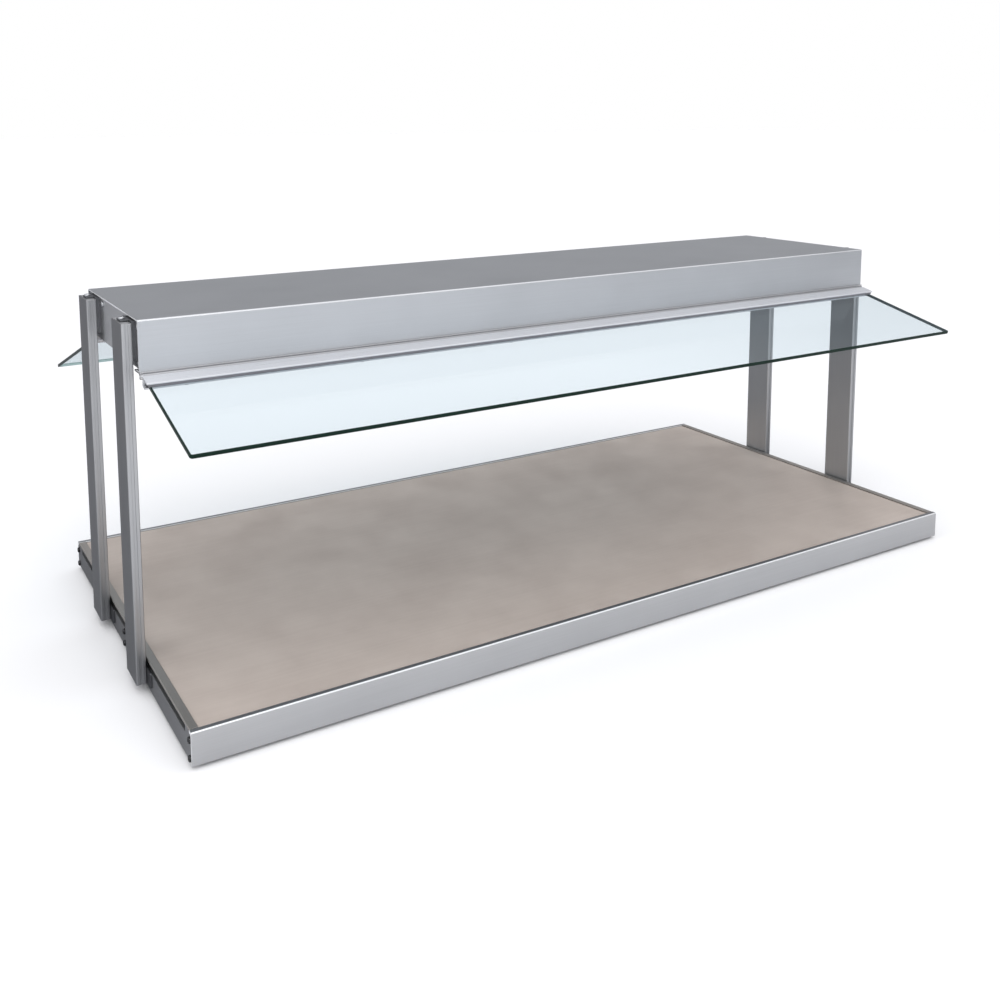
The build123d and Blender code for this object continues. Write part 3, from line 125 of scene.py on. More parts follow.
# Metals. Grain is the axis that the scratches run along; streak is width and length in mm; edge
# is the radius that the corners seem to have, in mm; rim tints what a glancing view reflects;
# metal, where it is under 1, leaves a share to the coat's own scattering.
fullRim, dulledRim = (0.9, 0.9, 0.9, 1), (0.5, 0.5, 0.51, 1)
metalLooks = {
    # satin clear-anodised sheet: pale blue-grey, with a soft sheen along its length
    "anodisedAluminiumSheet": {
        "colours": ("b7babe", "c0c3c7"), "grain": "X", "streak": (1.1, 110), "roughness": (0.36, 0.42),
        "bump": 0.12, "edge": 1.2, "rim": fullRim},
    # outside of the sheet's fold: painted paler than the sheet, a painted highlight so the fold shows a
    # bright line
    "foldHighlightAluminium": {
        "colours": ("cdcfd2", "d6d8da"), "grain": "X", "streak": (1.1, 110), "roughness": (0.30, 0.36),
        "bump": 0.1, "edge": 1.2, "rim": fullRim},
    # extruded rail: a little brighter, with drawing lines that catch the light on the round lip
    "anodisedAluminiumRail": {
        "colours": ("c8c8c9", "d2d2d3"), "grain": "X", "streak": (0.9, 160), "roughness": (0.30, 0.38),
        "bump": 0.15, "edge": 0.5, "rim": fullRim},
    # outer corner of the base rails' lip: painted paler, a painted highlight so a bright line runs along the
    # whole base
    "lipHighlightAluminium": {
        "colours": ("e6e7e9", "eeeff0"), "grain": "X", "streak": (0.9, 160), "roughness": (0.28, 0.34),
        "bump": 0.1, "edge": 0.5, "rim": fullRim},
    # flat top of that lip: painted darker and a little rougher, a painted shade line between the bright
    # corner and the shelf
    "lipShadeAluminium": {
        "colours": ("939497", "9d9ea1"), "grain": "X", "streak": (0.9, 160), "roughness": (0.38, 0.46),
        "bump": 0.15, "edge": 0.3, "rim": dulledRim},
    # the holders' bead: painted darker and a little rougher, a painted shade so it shows as a soft grey line
    "beadShadeAluminium": {
        "colours": ("9c9da0", "a6a7aa"), "grain": "X", "streak": (0.9, 160), "roughness": (0.36, 0.46),
        "bump": 0.15, "edge": 0.3, "rim": dulledRim},
    # drawn rectangular tube: upright lines, and an oxide that dulls it where it is seen edge-on
    "anodisedAluminiumTube": {
        "colours": ("a7a8aa", "b2b3b5"), "grain": "Z", "streak": (0.9, 140), "roughness": (0.34, 0.42),
        "bump": 0.12, "edge": 0.8, "rim": dulledRim},
    # brushed clamp profile: its clear coat scatters some light, so the slope stays pale from every
    # side, and the outer edge glints
    "brushedAluminiumProfile": {
        "colours": ("c6c8cd", "cfd1d5"), "grain": "X", "streak": (0.7, 120), "roughness": (0.26, 0.34),
        "bump": 0.12, "edge": 0.5, "rim": fullRim, "metal": 0.4},
    # mill-finish strip: duller and darker than the anodised sheet and rails
    "millAluminiumStrip": {
        "colours": ("a39f9b", "afaba7"), "grain": "Y", "streak": (0.8, 80), "roughness": (0.38, 0.46),
        "bump": 0.15, "edge": 0.4, "rim": fullRim},
    # brushed stainless sheet: neutral, with short visible lines
    "brushedStainlessSheet": {
        "colours": ("cbccce", "d7d8da"), "grain": "Y", "streak": (0.8, 60), "roughness": (0.34, 0.44),
        "bump": 0.2, "edge": 0.3, "rim": fullRim},
    # phosphated sheet: a dull mid grey, so the base's ends sink back behind the bright rails
    "phosphatedSteelSheet": {
        "colours": ("a2a3a5", "adaeb0"), "grain": "Y", "streak": (0.9, 40), "roughness": (0.40, 0.50),
        "bump": 0.15, "edge": 0.3, "rim": dulledRim},
    # blasted spacer plate: darker than the posts it carries, almost without lines
    "blastedSteelPlate": {
        "colours": ("66676a", "76777a"), "grain": "Z", "streak": (0.8, 5), "roughness": (0.42, 0.52),
        "bump": 0.2, "edge": 0.4, "rim": dulledRim},
    # polished reflector sheet: mirrors the elements in soft stripes
    "polishedAluminiumReflector": {
        "colours": ("cdcfd1", "dcdedf"), "grain": "X", "streak": (1.2, 200), "roughness": (0.12, 0.20),
        "bump": 0.08, "edge": 0.3, "rim": fullRim},
    # heater sheath after many hours red-hot: brown-black oxide with a dull shine
    "oxidisedHeaterSheath": {
        "colours": ("38342f", "5a5147"), "grain": "X", "streak": (3.0, 40), "roughness": (0.42, 0.58),
        "bump": 0.2, "edge": 0.2, "rim": dulledRim},
    # blackened screw: a near-black head that shows as a dot with one small glint
    "blackenedSteelScrew": {
        "colours": ("39393b", "4b4b4d"), "grain": "Z", "streak": (0.4, 1.2), "roughness": (0.20, 0.28),
        "bump": 0.1, "edge": 0.3, "rim": fullRim},
    # zinc-plated screw: bright with a slight blue cast
    "zincPlatedScrew": {
        "colours": ("a3a5a8", "c3c5c8"), "grain": "Z", "streak": (0.4, 1.2), "roughness": (0.22, 0.32),
        "bump": 0.1, "edge": 0.25, "rim": fullRim},
}
metals = {name: grainMetal(name, look) for name, look in metalLooks.items()}


# What every moulding shares, in mm: clouds of tone, depth of the pebble and rounding of the edges
mouldSkin = {"cloud": 25.0, "pebbleDepth": 0.05, "edge": 0.35}


def moulded(name, look):
    # plastic, rubber or ink: a fine even pebble that breaks up the highlight
    material, tree = newMaterial(name)
    place = addNode(tree, "TexCoord").outputs["Object"]
    pebble = addNode(tree, "TexNoise", {"Vector": place, "Scale": 1 / (look["pebble"] * mm), "Detail": 2.0})
    cloud = addNode(tree, "TexNoise", {
        "Vector": place, "Scale": 1 / (mouldSkin["cloud"] * mm), "Detail": 3.0})
    dark, light = look["colours"]
    colour = addNode(tree, "Mix", {
        "Factor": cloud.outputs["Fac"], "A": hexToLinear(dark), "B": hexToLinear(light)}, data_type="RGBA")
    shine = addNode(tree, "MapRange", {
        "Value": cloud.outputs["Fac"], "From Min": noiseLow, "From Max": noiseHigh,
        "To Min": look["roughness"][0], "To Max": look["roughness"][1]})
    edge = addNode(tree, "Bevel", {"Radius": mouldSkin["edge"] * mm}, samples=4)
    bump = addNode(tree, "Bump", {
        "Height": pebble.outputs["Fac"], "Strength": look["bump"],
        "Distance": mouldSkin["pebbleDepth"] * mm, "Normal": edge.outputs[0]})
    surface = addNode(tree, "BsdfPrincipled", {
        "Base Color": colour.outputs[2], "Roughness": shine.outputs[0], "IOR": look["ior"],
        "Normal": bump.outputs[0]})
    addNode(tree, "OutputMaterial", {"Surface": surface.outputs[0]})
    return material


# Plastics, rubbers, fibres and inks. Pebble is the grain of the mould or of the stuff, in mm.
mouldedLooks = {
    # glass-filled nylon: grey-black, with a soft broken sheen
    "blackNylon": {
        "colours": ("151516", "1e1e1f"), "roughness": (0.42, 0.55), "pebble": 0.5, "bump": 0.3, "ior": 1.53},
    # pressed phenolic: the glossiest black here, with clean highlights along its edges
    "blackPhenolic": {
        "colours": ("0f0f10", "171718"), "roughness": (0.24, 0.34), "pebble": 0.8, "bump": 0.12, "ior": 1.6},
    # painted shade: a near-black matt strip, so the channel under the trim reads as a black gap
    "channelShadeBlack": {
        "colours": ("050505", "0a0a0a"), "roughness": (0.85, 0.95), "pebble": 0.5, "bump": 0.4, "ior": 1.2},
    # nylon plug: the grey of the tube it closes, but without its lines
    "greyNylon": {
        "colours": ("808184", "8a8b8e"), "roughness": (0.42, 0.52), "pebble": 0.5, "bump": 0.2, "ior": 1.53},
    # moulded rubber: matt black, with a pebble that can be seen
    "footRubber": {
        "colours": ("121212", "1d1c1b"), "roughness": (0.62, 0.78), "pebble": 0.4, "bump": 0.5, "ior": 1.52},
    # extruded rubber: a mid grey line between glass and holder, without a glint
    "gasketRubber": {
        "colours": ("66666d", "747479"), "roughness": (0.5, 0.65), "pebble": 0.4, "bump": 0.3, "ior": 1.52},
    # silicone heater mat: brick red, with the faint texture of the cloth inside it
    "heaterSilicone": {
        "colours": ("8c3f22", "a14c2b"), "roughness": (0.5, 0.62), "pebble": 0.9, "bump": 0.3, "ior": 1.41},
    # silicone jacket of the leads: off-white and slightly waxy
    "leadSilicone": {
        "colours": ("cfc9bd", "ded9ce"), "roughness": (0.48, 0.6), "pebble": 0.7, "bump": 0.2, "ior": 1.41},
    # mineral wool: straw yellow, rough and without any shine
    "mineralWool": {
        "colours": ("b9ac83", "d6cba6"), "roughness": (0.86, 0.96), "pebble": 1.6, "bump": 1.0, "ior": 1.45},
    # polyamide terminal block: ivory with a low sheen
    "terminalPlastic": {
        "colours": ("d9d4c4", "e4dfd0"), "roughness": (0.4, 0.5), "pebble": 0.6, "bump": 0.2, "ior": 1.52},
    # red rocker from a polished mould: each facet has its own clear highlight
    "rockerRed": {
        "colours": ("9c1512", "ab1a16"), "roughness": (0.18, 0.26), "pebble": 1.0, "bump": 0.08, "ior": 1.5},
    # glazed steatite: creamy white, with a hard bright highlight
    "glazedSteatite": {
        "colours": ("ddd8cb", "ebe7dc"), "roughness": (0.16, 0.26), "pebble": 1.1, "bump": 0.1, "ior": 1.55},
    # printed inks: an even white and an even black that shine less than what they stand on
    "whiteInk": {
        "colours": ("dededa", "e9e9e6"), "roughness": (0.45, 0.55), "pebble": 0.4, "bump": 0.1, "ior": 1.5},
    "blackInk": {
        "colours": ("121213", "1a1a1b"), "roughness": (0.45, 0.55), "pebble": 0.4, "bump": 0.1, "ior": 1.5},
    # polished acrylic lens: amber, with sharp glints on its rings
    "amberLens": {
        "colours": ("d9701c", "ea8a2c"), "roughness": (0.08, 0.14), "pebble": 1.2, "bump": 0.05, "ior": 1.49},
}
plastics = {name: moulded(name, look) for name, look in mouldedLooks.items()}


def galvanisedSheet():
    # hot-dip zinc: flat crystals about 9 mm wide, each with its own grey and gloss
    look = {"spangle": 9.0, "dark": "83878a", "light": "a9adaf", "roughness": (0.34, 0.52)}
    material, tree = newMaterial("galvanisedSheet")
    place = addNode(tree, "TexCoord").outputs["Object"]
    crystals = addNode(tree, "TexVoronoi", {"Vector": place, "Scale": 1 / (look["spangle"] * mm)})
    shade = addNode(tree, "SeparateColor", {0: crystals.outputs["Color"]})
    colour = addNode(tree, "Mix", {
        "Factor": shade.outputs[0], "A": hexToLinear(look["dark"]),
        "B": hexToLinear(look["light"])}, data_type="RGBA")
    shine = addNode(tree, "MapRange", {
        "Value": shade.outputs[1], "To Min": look["roughness"][0], "To Max": look["roughness"][1]})
    surface = addNode(tree, "BsdfPrincipled", {
        "Base Color": colour.outputs[2], "Metallic": 1.0, "Roughness": shine.outputs[0]})
    addNode(tree, "OutputMaterial", {"Surface": surface.outputs[0]})
    return material


def hardCoatShelf():
    # hard-anodised plate: the oxide scatters light like a warm grey ceramic over the metal, with
    # a soft mottle from the bath and faint rolling lines
    look = {"dark": "b9aca3", "light": "c7bbb2", "roughness": (0.30, 0.40), "rollLine": 3.4,
            "rollLength": 300.0, "mottle": 60.0, "mottleShare": 0.75, "lineDepth": 0.02, "metal": 0.2}
    material, tree = newMaterial("hardAnodisedPlate")
    place = addNode(tree, "TexCoord").outputs["Object"]
    stretched = addNode(tree, "Mapping", {
        "Vector": place, "Scale": (1 / (look["rollLength"] * mm), 1 / (look["rollLine"] * mm), 1.0)})
    lines = addNode(tree, "TexNoise", {"Vector": stretched.outputs[0], "Scale": 1.0, "Detail": 2.0})
    mottle = addNode(tree, "TexNoise", {
        "Vector": place, "Scale": 1 / (look["mottle"] * mm), "Detail": 4.0, "Roughness": 0.55})
    both = addNode(tree, "Mix", {
        "Factor": look["mottleShare"], "A": lines.outputs["Fac"], "B": mottle.outputs["Fac"]})
    tone = addNode(tree, "MapRange", {"Value": both.outputs[0], "From Min": noiseLow, "From Max": noiseHigh})
    colour = addNode(tree, "Mix", {
        "Factor": tone.outputs[0], "A": hexToLinear(look["dark"]),
        "B": hexToLinear(look["light"])}, data_type="RGBA")
    shine = addNode(tree, "MapRange", {
        "Value": mottle.outputs["Fac"], "From Min": noiseLow, "From Max": noiseHigh,
        "To Min": look["roughness"][0], "To Max": look["roughness"][1]})
    bump = addNode(tree, "Bump", {
        "Height": lines.outputs["Fac"], "Strength": 0.1, "Distance": look["lineDepth"] * mm})
    surface = addNode(tree, "BsdfPrincipled", {
        "Base Color": colour.outputs[2], "Metallic": look["metal"], "Roughness": shine.outputs[0],
        "Normal": bump.outputs[0]})
    addNode(tree, "OutputMaterial", {"Surface": surface.outputs[0]})
    return material


def clearGlass():
    # float glass: clear with a trace of blue-green, and mirror-smooth, so it shows as a faint
    # veil that gets stronger towards a glancing view
    look = {"tint": "f1f6f8", "roughness": 0.02, "mirrorSquareOn": 0.04, "mirrorGlancing": 0.25}
    material, tree = newMaterial("clearFloatGlass")
    through = addNode(tree, "BsdfTransparent", {"Color": hexToLinear(look["tint"])})
    mirror = addNode(tree, "BsdfGlossy", {"Roughness": look["roughness"]})
    facing = addNode(tree, "LayerWeight", {"Blend": 0.5}).outputs["Facing"]
    fifth = addNode(tree, "Math", {0: facing, 1: 5.0}, operation="POWER")
    share = addNode(tree, "MapRange", {
        "Value": fifth.outputs[0], "To Min": look["mirrorSquareOn"], "To Max": look["mirrorGlancing"]})
    mix = addNode(tree, "MixShader", {0: share.outputs[0], 1: through.outputs[0], 2: mirror.outputs[0]})
    addNode(tree, "OutputMaterial", {"Surface": mix.outputs[0]})
    return material


# Marks of the glass grinder, drawn 4.5 mm wide, because real grit is too fine to show; in mm
edgeGrind = {"mark": 4.545, "depth": 0.03}


def glassEdge(name, look):
    # the ground edge looks along the sheet, through much more glass than the broad faces do
    material, tree = newMaterial(name)
    place = addNode(tree, "TexCoord").outputs["Object"]
    grind = addNode(tree, "TexNoise", {
        "Vector": place, "Scale": 1 / (edgeGrind["mark"] * mm), "Detail": 2.0})
    dark, light = look["colours"]
    colour = addNode(tree, "Mix", {
        "Factor": grind.outputs["Fac"], "A": hexToLinear(dark), "B": hexToLinear(light)}, data_type="RGBA")
    bump = addNode(tree, "Bump", {
        "Height": grind.outputs["Fac"], "Strength": 0.2, "Distance": edgeGrind["depth"] * mm})
    surface = addNode(tree, "BsdfPrincipled", {
        "Base Color": colour.outputs[2], "Roughness": look["roughness"], "IOR": 1.52,
        "Specular IOR Level": look["gloss"], "Normal": bump.outputs[0]})
    addNode(tree, "OutputMaterial", {"Surface": surface.outputs[0]})
    return material


def sawnEdge():
    # the bare sawn end of a sheet or rail: fine saw lines, and paler than the coating around it, partly its
    # own bare metal and partly a painted highlight line
    look = {"sawLine": 0.15, "colours": ("d4d5d8", "e6e7e9"), "roughness": 0.5, "metal": 0.2}
    material, tree = newMaterial("sawnAluminiumEdgeHighlight")
    place = addNode(tree, "TexCoord").outputs["Object"]
    lines = addNode(tree, "TexNoise", {"Vector": place, "Scale": 1 / (look["sawLine"] * mm), "Detail": 1.0})
    dark, light = look["colours"]
    colour = addNode(tree, "Mix", {
        "Factor": lines.outputs["Fac"], "A": hexToLinear(dark), "B": hexToLinear(light)}, data_type="RGBA")
    surface = addNode(tree, "BsdfPrincipled", {
        "Base Color": colour.outputs[2], "Metallic": look["metal"], "Roughness": look["roughness"]})
    addNode(tree, "OutputMaterial", {"Surface": surface.outputs[0]})
    return material


shelfCoat = hardCoatShelf()
zincSheet = galvanisedSheet()
paneGlass = clearGlass()
bareEndHighlight = sawnEdge()
# glass edges: deep green where it is in shade, painted light grey at the end that turns from the viewer, and
# painted as a pale line where the light comes from behind
edgeLooks = {
    "cutGlassEdge": {"colours": ("03140f", "08291f"), "roughness": 0.28, "gloss": 0.1},
    "paintedLightGlassEdge": {"colours": ("4d5759", "5f696b"), "roughness": 0.3, "gloss": 0.2},
    "backlitGlassEdge": {"colours": ("a9c0bc", "bfd2cf"), "roughness": 0.3, "gloss": 0.5},
}
edgeGlass = [glassEdge(name, look) for name, look in edgeLooks.items()]

# What each CAD node is made of
nodeFinish = {
    metals["anodisedAluminiumSheet"]: ["canopy_skin"],
    metals["anodisedAluminiumRail"]: ["front_rail", "rear_rail", "front_hinge_rail", "rear_hinge_rail"],
    metals["anodisedAluminiumTube"]: [
        "left_front_post", "left_rear_post", "right_front_post", "right_rear_post"],
    metals["brushedAluminiumProfile"]: ["front_glass_holder", "rear_glass_holder"],
    metals["millAluminiumStrip"]: ["left_end_trim", "right_end_trim"],
    metals["brushedStainlessSheet"]: [
        "left_canopy_end_plate", "right_canopy_end_plate", "element_control_shaft", "thermostat_shaft",
        "thermostat_bulb"],
    metals["phosphatedSteelSheet"]: ["left_base_end_plate", "right_base_end_plate"],
    metals["blastedSteelPlate"]: ["lower_post_brackets", "upper_post_brackets"],
    zincSheet: ["bottom_pan", "wiring_bulkhead", "element_supports", "post_conduit"],
    metals["polishedAluminiumReflector"]: ["front_reflector", "rear_reflector", "reflector_centre_rail"],
    metals["oxidisedHeaterSheath"]: ["front_heating_element", "rear_heating_element"],
    metals["zincPlatedScrew"]: [
        "foot_screws", "post_bolts", "post_top_screws", "canopy_end_screws", "front_clamp_screws",
        "rear_clamp_screws", "hinge_rail_rivets"],
    metals["blackenedSteelScrew"]: ["base_end_screws"],
    shelfCoat: ["shelf_plate"],
    plastics["blackNylon"]: ["cord_gland", "switch_housing"],
    plastics["greyNylon"]: ["post_end_plugs"],
    plastics["blackPhenolic"]: ["element_control_body", "thermostat_body", "element_knob", "thermostat_knob"],
    plastics["footRubber"]: ["rubber_feet"],
    plastics["gasketRubber"]: ["front_glass_gasket", "rear_glass_gasket"],
    plastics["heaterSilicone"]: ["shelf_heater"],
    plastics["leadSilicone"]: ["base_leads", "canopy_leads"],
    plastics["mineralWool"]: ["shelf_insulation", "canopy_insulation"],
    plastics["terminalPlastic"]: ["base_terminal_block"],
    plastics["rockerRed"]: ["power_rocker"],
    plastics["amberLens"]: ["indicator_lamp"],
    paneGlass: ["front_glass", "rear_glass"],
}
for material, names in nodeFinish.items():
    for name in names:
        nodes[name].data.materials.clear()
        nodes[name].data.materials.append(material)


# Finishes on some faces of a CAD node. Reach is how far a finish goes down from the top or out from
# the hinge, in mm. Leaning and crosswise are shares of a face's direction, as squareOn is.
faceLook = {"foldReach": 4.0, "lipReach": 2.0, "topReach": 0.1, "beadReach": 2.05, "leaning": 0.1,
            "crosswise": 0.5}


def finishFaces(name, rules):
    # the first rule that fits a face wins, and other faces keep the node's own finish
    mesh = nodes[name].data
    first = len(mesh.materials)
    for material, fits in rules:
        mesh.materials.append(material)
    for face in mesh.polygons:
        for number, (material, fits) in enumerate(rules):
            if fits(face.normal, face.center):
                face.material_index = first + number
                break


# end faces of the skin and rails: their pale sawn finish is partly a painted highlight
def sawnEnd(normal, centre):
    return abs(normal.x) > squareOn


def roundedCorner(top, depth, side=None):
    # faces of an upper corner, on the side towards side in y, or on both
    def fits(normal, centre):
        outward = abs(normal.y) if side is None else side * normal.y
        return centre.z > top - depth * mm and min(normal.z, outward) > faceLook["leaning"]
    return fits


def flatTop(top):
    return lambda normal, centre: normal.z > squareOn and centre.z > top - faceLook["topReach"] * mm


def roundBead(axis):
    return lambda normal, centre: (
        (centre - axis).yz.length < faceLook["beadReach"] * mm and abs(normal.x) < faceLook["crosswise"])


skinTop = extent("canopy_skin")[1][2]
# the skin's fold gets a paler finish: a painted highlight line along it
finishFaces("canopy_skin", [
    (bareEndHighlight, sawnEnd), (metals["foldHighlightAluminium"], roundedCorner(skinTop, faceLook["foldReach"]))])
for rail, side in (("front_rail", -1), ("rear_rail", 1)):
    railTop = extent(rail)[1][2]
    finishFaces(rail, [
        (bareEndHighlight, sawnEnd),
        # painted highlight on the lip's outer corner
        (metals["lipHighlightAluminium"], roundedCorner(railTop, faceLook["lipReach"], side)),
        # painted shade on the lip's flat top
        (metals["lipShadeAluminium"], flatTop(railTop))])
for guard in ("front", "rear"):
    hingeAxis = Vector(joints[guard + "_guard_hinge"]["pos_m"])
    # the bead is painted darker: a painted shade line along the holder
    finishFaces(guard + "_glass_holder", [(metals["beadShadeAluminium"], roundBead(hingeAxis))])
dressed = sum(len(names) for names in nodeFinish.values())
print("stage: finishes on", dressed, "of", len(nodes), "nodes")


# Helpers for the new pieces

def addPiece(name, mesh, materials, body, replaced=()):
    data = bpy.data.meshes.new(name)
    mesh.to_mesh(data)
    mesh.free()
    for material in materials:
        data.materials.append(material)
    piece = bpy.data.objects.new(name, data)
    bpy.context.scene.collection.objects.link(piece)
    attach(piece, body)
    if replaced:
        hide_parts(*replaced)
    return piece


def gather(target, part, slot):
    # adds one closed shell to a piece, with the number of its material
    for face in part.faces:
        face.material_index = slot
    data = bpy.data.meshes.new("shell")
    part.to_mesh(data)
    part.free()
    target.from_mesh(data)
    bpy.data.meshes.remove(data)


def roundEdges(mesh, edges, radius, segments=3):
    # radius is in the mesh's own unit
    bmesh.ops.bevel(mesh, geom=edges, offset=radius, segments=segments, affect="EDGES", profile=0.5,
                    material=-1)


def turned(profile, segments=72):
    # a profile of (radius, height) points spun about local z
    mesh = bmesh.new()
    verts = [mesh.verts.new((radius * mm, 0, height * mm)) for radius, height in profile]
    edges = [mesh.edges.new(pair) for pair in zip(verts, verts[1:])]
    bmesh.ops.spin(mesh, geom=verts + edges, cent=(0, 0, 0), axis=(0, 0, 1), angle=2 * math.pi,
                   steps=segments, use_merge=True)
    bmesh.ops.remove_doubles(mesh, verts=mesh.verts, dist=1e-6)
    bmesh.ops.recalc_face_normals(mesh, faces=mesh.faces)
    for face in mesh.faces:
        face.smooth = True
    return mesh


def pullUp(mesh, height):
    # makes a flat outline a closed solid along local z, and returns its upper corners
    grown = bmesh.ops.extrude_face_region(mesh, geom=mesh.faces[:])["geom"]
    upper = {part for part in grown if isinstance(part, bmesh.types.BMVert)}
    bmesh.ops.translate(mesh, vec=(0, 0, height * mm), verts=list(upper))
    bmesh.ops.recalc_face_normals(mesh, faces=mesh.faces)
    return upper


def raised(points, height, draft, edge):
    # an outline pulled up from local z = 0, drawn in by draft at the top, with a rounded rim
    mesh = bmesh.new()
    mesh.faces.new([mesh.verts.new((x * mm, y * mm, 0)) for x, y in points])
    upper = pullUp(mesh, height)
    widest = max(max(abs(x), abs(y)) for x, y in points)
    shrink = (widest - draft) / widest
    bmesh.ops.scale(mesh, vec=(shrink, shrink, 1), verts=list(upper))
    roundEdges(mesh, [rim for rim in mesh.edges if upper.issuperset(rim.verts)], edge * mm)
    return mesh


def block(size, centre, edge=0.0):
    mesh = bmesh.new()
    bmesh.ops.create_cube(mesh, size=1.0)
    bmesh.ops.scale(mesh, vec=[side * mm for side in size], verts=mesh.verts)
    if edge:
        roundEdges(mesh, mesh.edges[:], edge * mm)
    bmesh.ops.translate(mesh, vec=[place * mm for place in centre], verts=mesh.verts)
    return mesh


def lettering(word, size, inkDepth):
    # a word as a layer of ink, centred on the origin of the local XY plane
    script = bpy.data.curves.new("word", "FONT")
    script.body, script.size, script.extrude = word, size * mm, inkDepth / 2 * mm
    script.resolution_u = 3
    script.align_x, script.align_y = "CENTER", "CENTER"
    carrier = bpy.data.objects.new("word", script)
    bpy.context.scene.collection.objects.link(carrier)
    bpy.context.view_layer.update()
    shape = bpy.data.meshes.new_from_object(carrier.evaluated_get(bpy.context.evaluated_depsgraph_get()))
    mesh = bmesh.new()
    mesh.from_mesh(shape)
    bmesh.ops.remove_doubles(mesh, verts=mesh.verts, dist=1e-7)
    bmesh.ops.recalc_face_normals(mesh, faces=mesh.faces)
    bpy.data.objects.remove(carrier)
    bpy.data.curves.remove(script)
    bpy.data.meshes.remove(shape)
    return mesh


def onEnd(x, y, z):
    # local x runs to the back, local y up and local z out of the control end
    return Matrix(((0, 0, 1, x), (1, 0, 0, y), (0, 1, 0, z), (0, 0, 0, 1)))


def clockPoint(radius, angle):
    # a point of a dial, clockwise from the top
    return radius * math.sin(math.radians(angle)), radius * math.cos(math.radians(angle))


plateFace = extent("right_canopy_end_plate")[1][0]


# Glass panes. Under is measured square to the glass, start and reach down its slope, all three
# from the hinge. The four numbers are the pane's materials in their order.
clearFace, cutFace, paintedLightFace, backlitFace = range(4)


def glassPane(name, look):
    # a sheet with rounded corners and seamed edges, laid on the guard's slope
    mesh = bmesh.new()
    bmesh.ops.create_cube(mesh, size=1.0)
    side, depth = look["side"], look["reach"] - look["start"]
    bmesh.ops.scale(mesh, vec=(look["length"], depth, look["thickness"]), verts=mesh.verts)
    upright = [e for e in mesh.edges if abs(e.verts[0].co.z - e.verts[1].co.z) > look["thickness"] / 2]
    roundEdges(mesh, upright, look["corner"], 5)
    rim = [e for e in mesh.edges if abs(e.verts[0].co.z - e.verts[1].co.z) < 1e-6]
    roundEdges(mesh, rim, look["seam"], 1)
    # the broad faces' outermost strip shows the ground edge by refraction, so it is as dark
    broad = [face for face in mesh.faces if abs(face.normal.z) > squareOn]
    strip = bmesh.ops.inset_region(mesh, faces=broad, thickness=look["rimStrip"], use_even_offset=True)
    border = look["seam"] + look["rimStrip"]
    for face in mesh.faces:
        if abs(face.normal.z) > squareOn and face not in strip["faces"]:
            face.material_index = clearFace
            continue
        centre = face.calc_center_median()
        face.material_index = cutFace
        # painted light: the end that turns from the viewer gets a lighter grey, the back edge a pale backlit
        # line
        if look["paintedLightEnd"] and centre.x > look["length"] / 2 - border:
            face.material_index = paintedLightFace
        if look["backlitEdge"] and side * centre.y > depth / 2 - border:
            face.material_index = backlitFace
    bmesh.ops.scale(mesh, vec=(mm, mm, mm), verts=mesh.verts)
    middle = Vector((0, side * (look["start"] + look["reach"]) / 2, look["under"] + look["thickness"] / 2))
    bmesh.ops.translate(mesh, vec=middle * mm, verts=mesh.verts)
    tilt = Matrix.Rotation(-side * math.radians(look["tilt"]), 4, "X")
    hinge = Vector(joints[look["hinge"]]["pos_m"])
    bmesh.ops.transform(mesh, matrix=Matrix.Translation(hinge) @ tilt, verts=mesh.verts)
    return addPiece(name, mesh, [paneGlass, *edgeGlass], look["body"], [look["node"]])


paneLooks = {
    "frontPane": {
        "side": -1, "tilt": 14, "start": 7.8, "reach": 159, "under": -7, "thickness": 4, "length": 1074,
        "corner": 3, "seam": 0.5, "rimStrip": 1.0, "paintedLightEnd": True, "backlitEdge": False,
        "hinge": "front_guard_hinge", "body": "front_guard", "node": "front_glass"},
    "rearPane": {
        "side": 1, "tilt": 18, "start": 7.8, "reach": 284, "under": -7, "thickness": 4, "length": 1074,
        "corner": 3, "seam": 0.5, "rimStrip": 1.0, "paintedLightEnd": False, "backlitEdge": True,
        "hinge": "rear_guard_hinge", "body": "rear_guard", "node": "rear_glass"},
}
for name, look in paneLooks.items():
    pane = glassPane(name, look)
    print("stage:", name, [round(v / mm, 1) for v in pane.dimensions])


# Control knobs: fluted skirt, low cap and bar grip, with a white pointer line

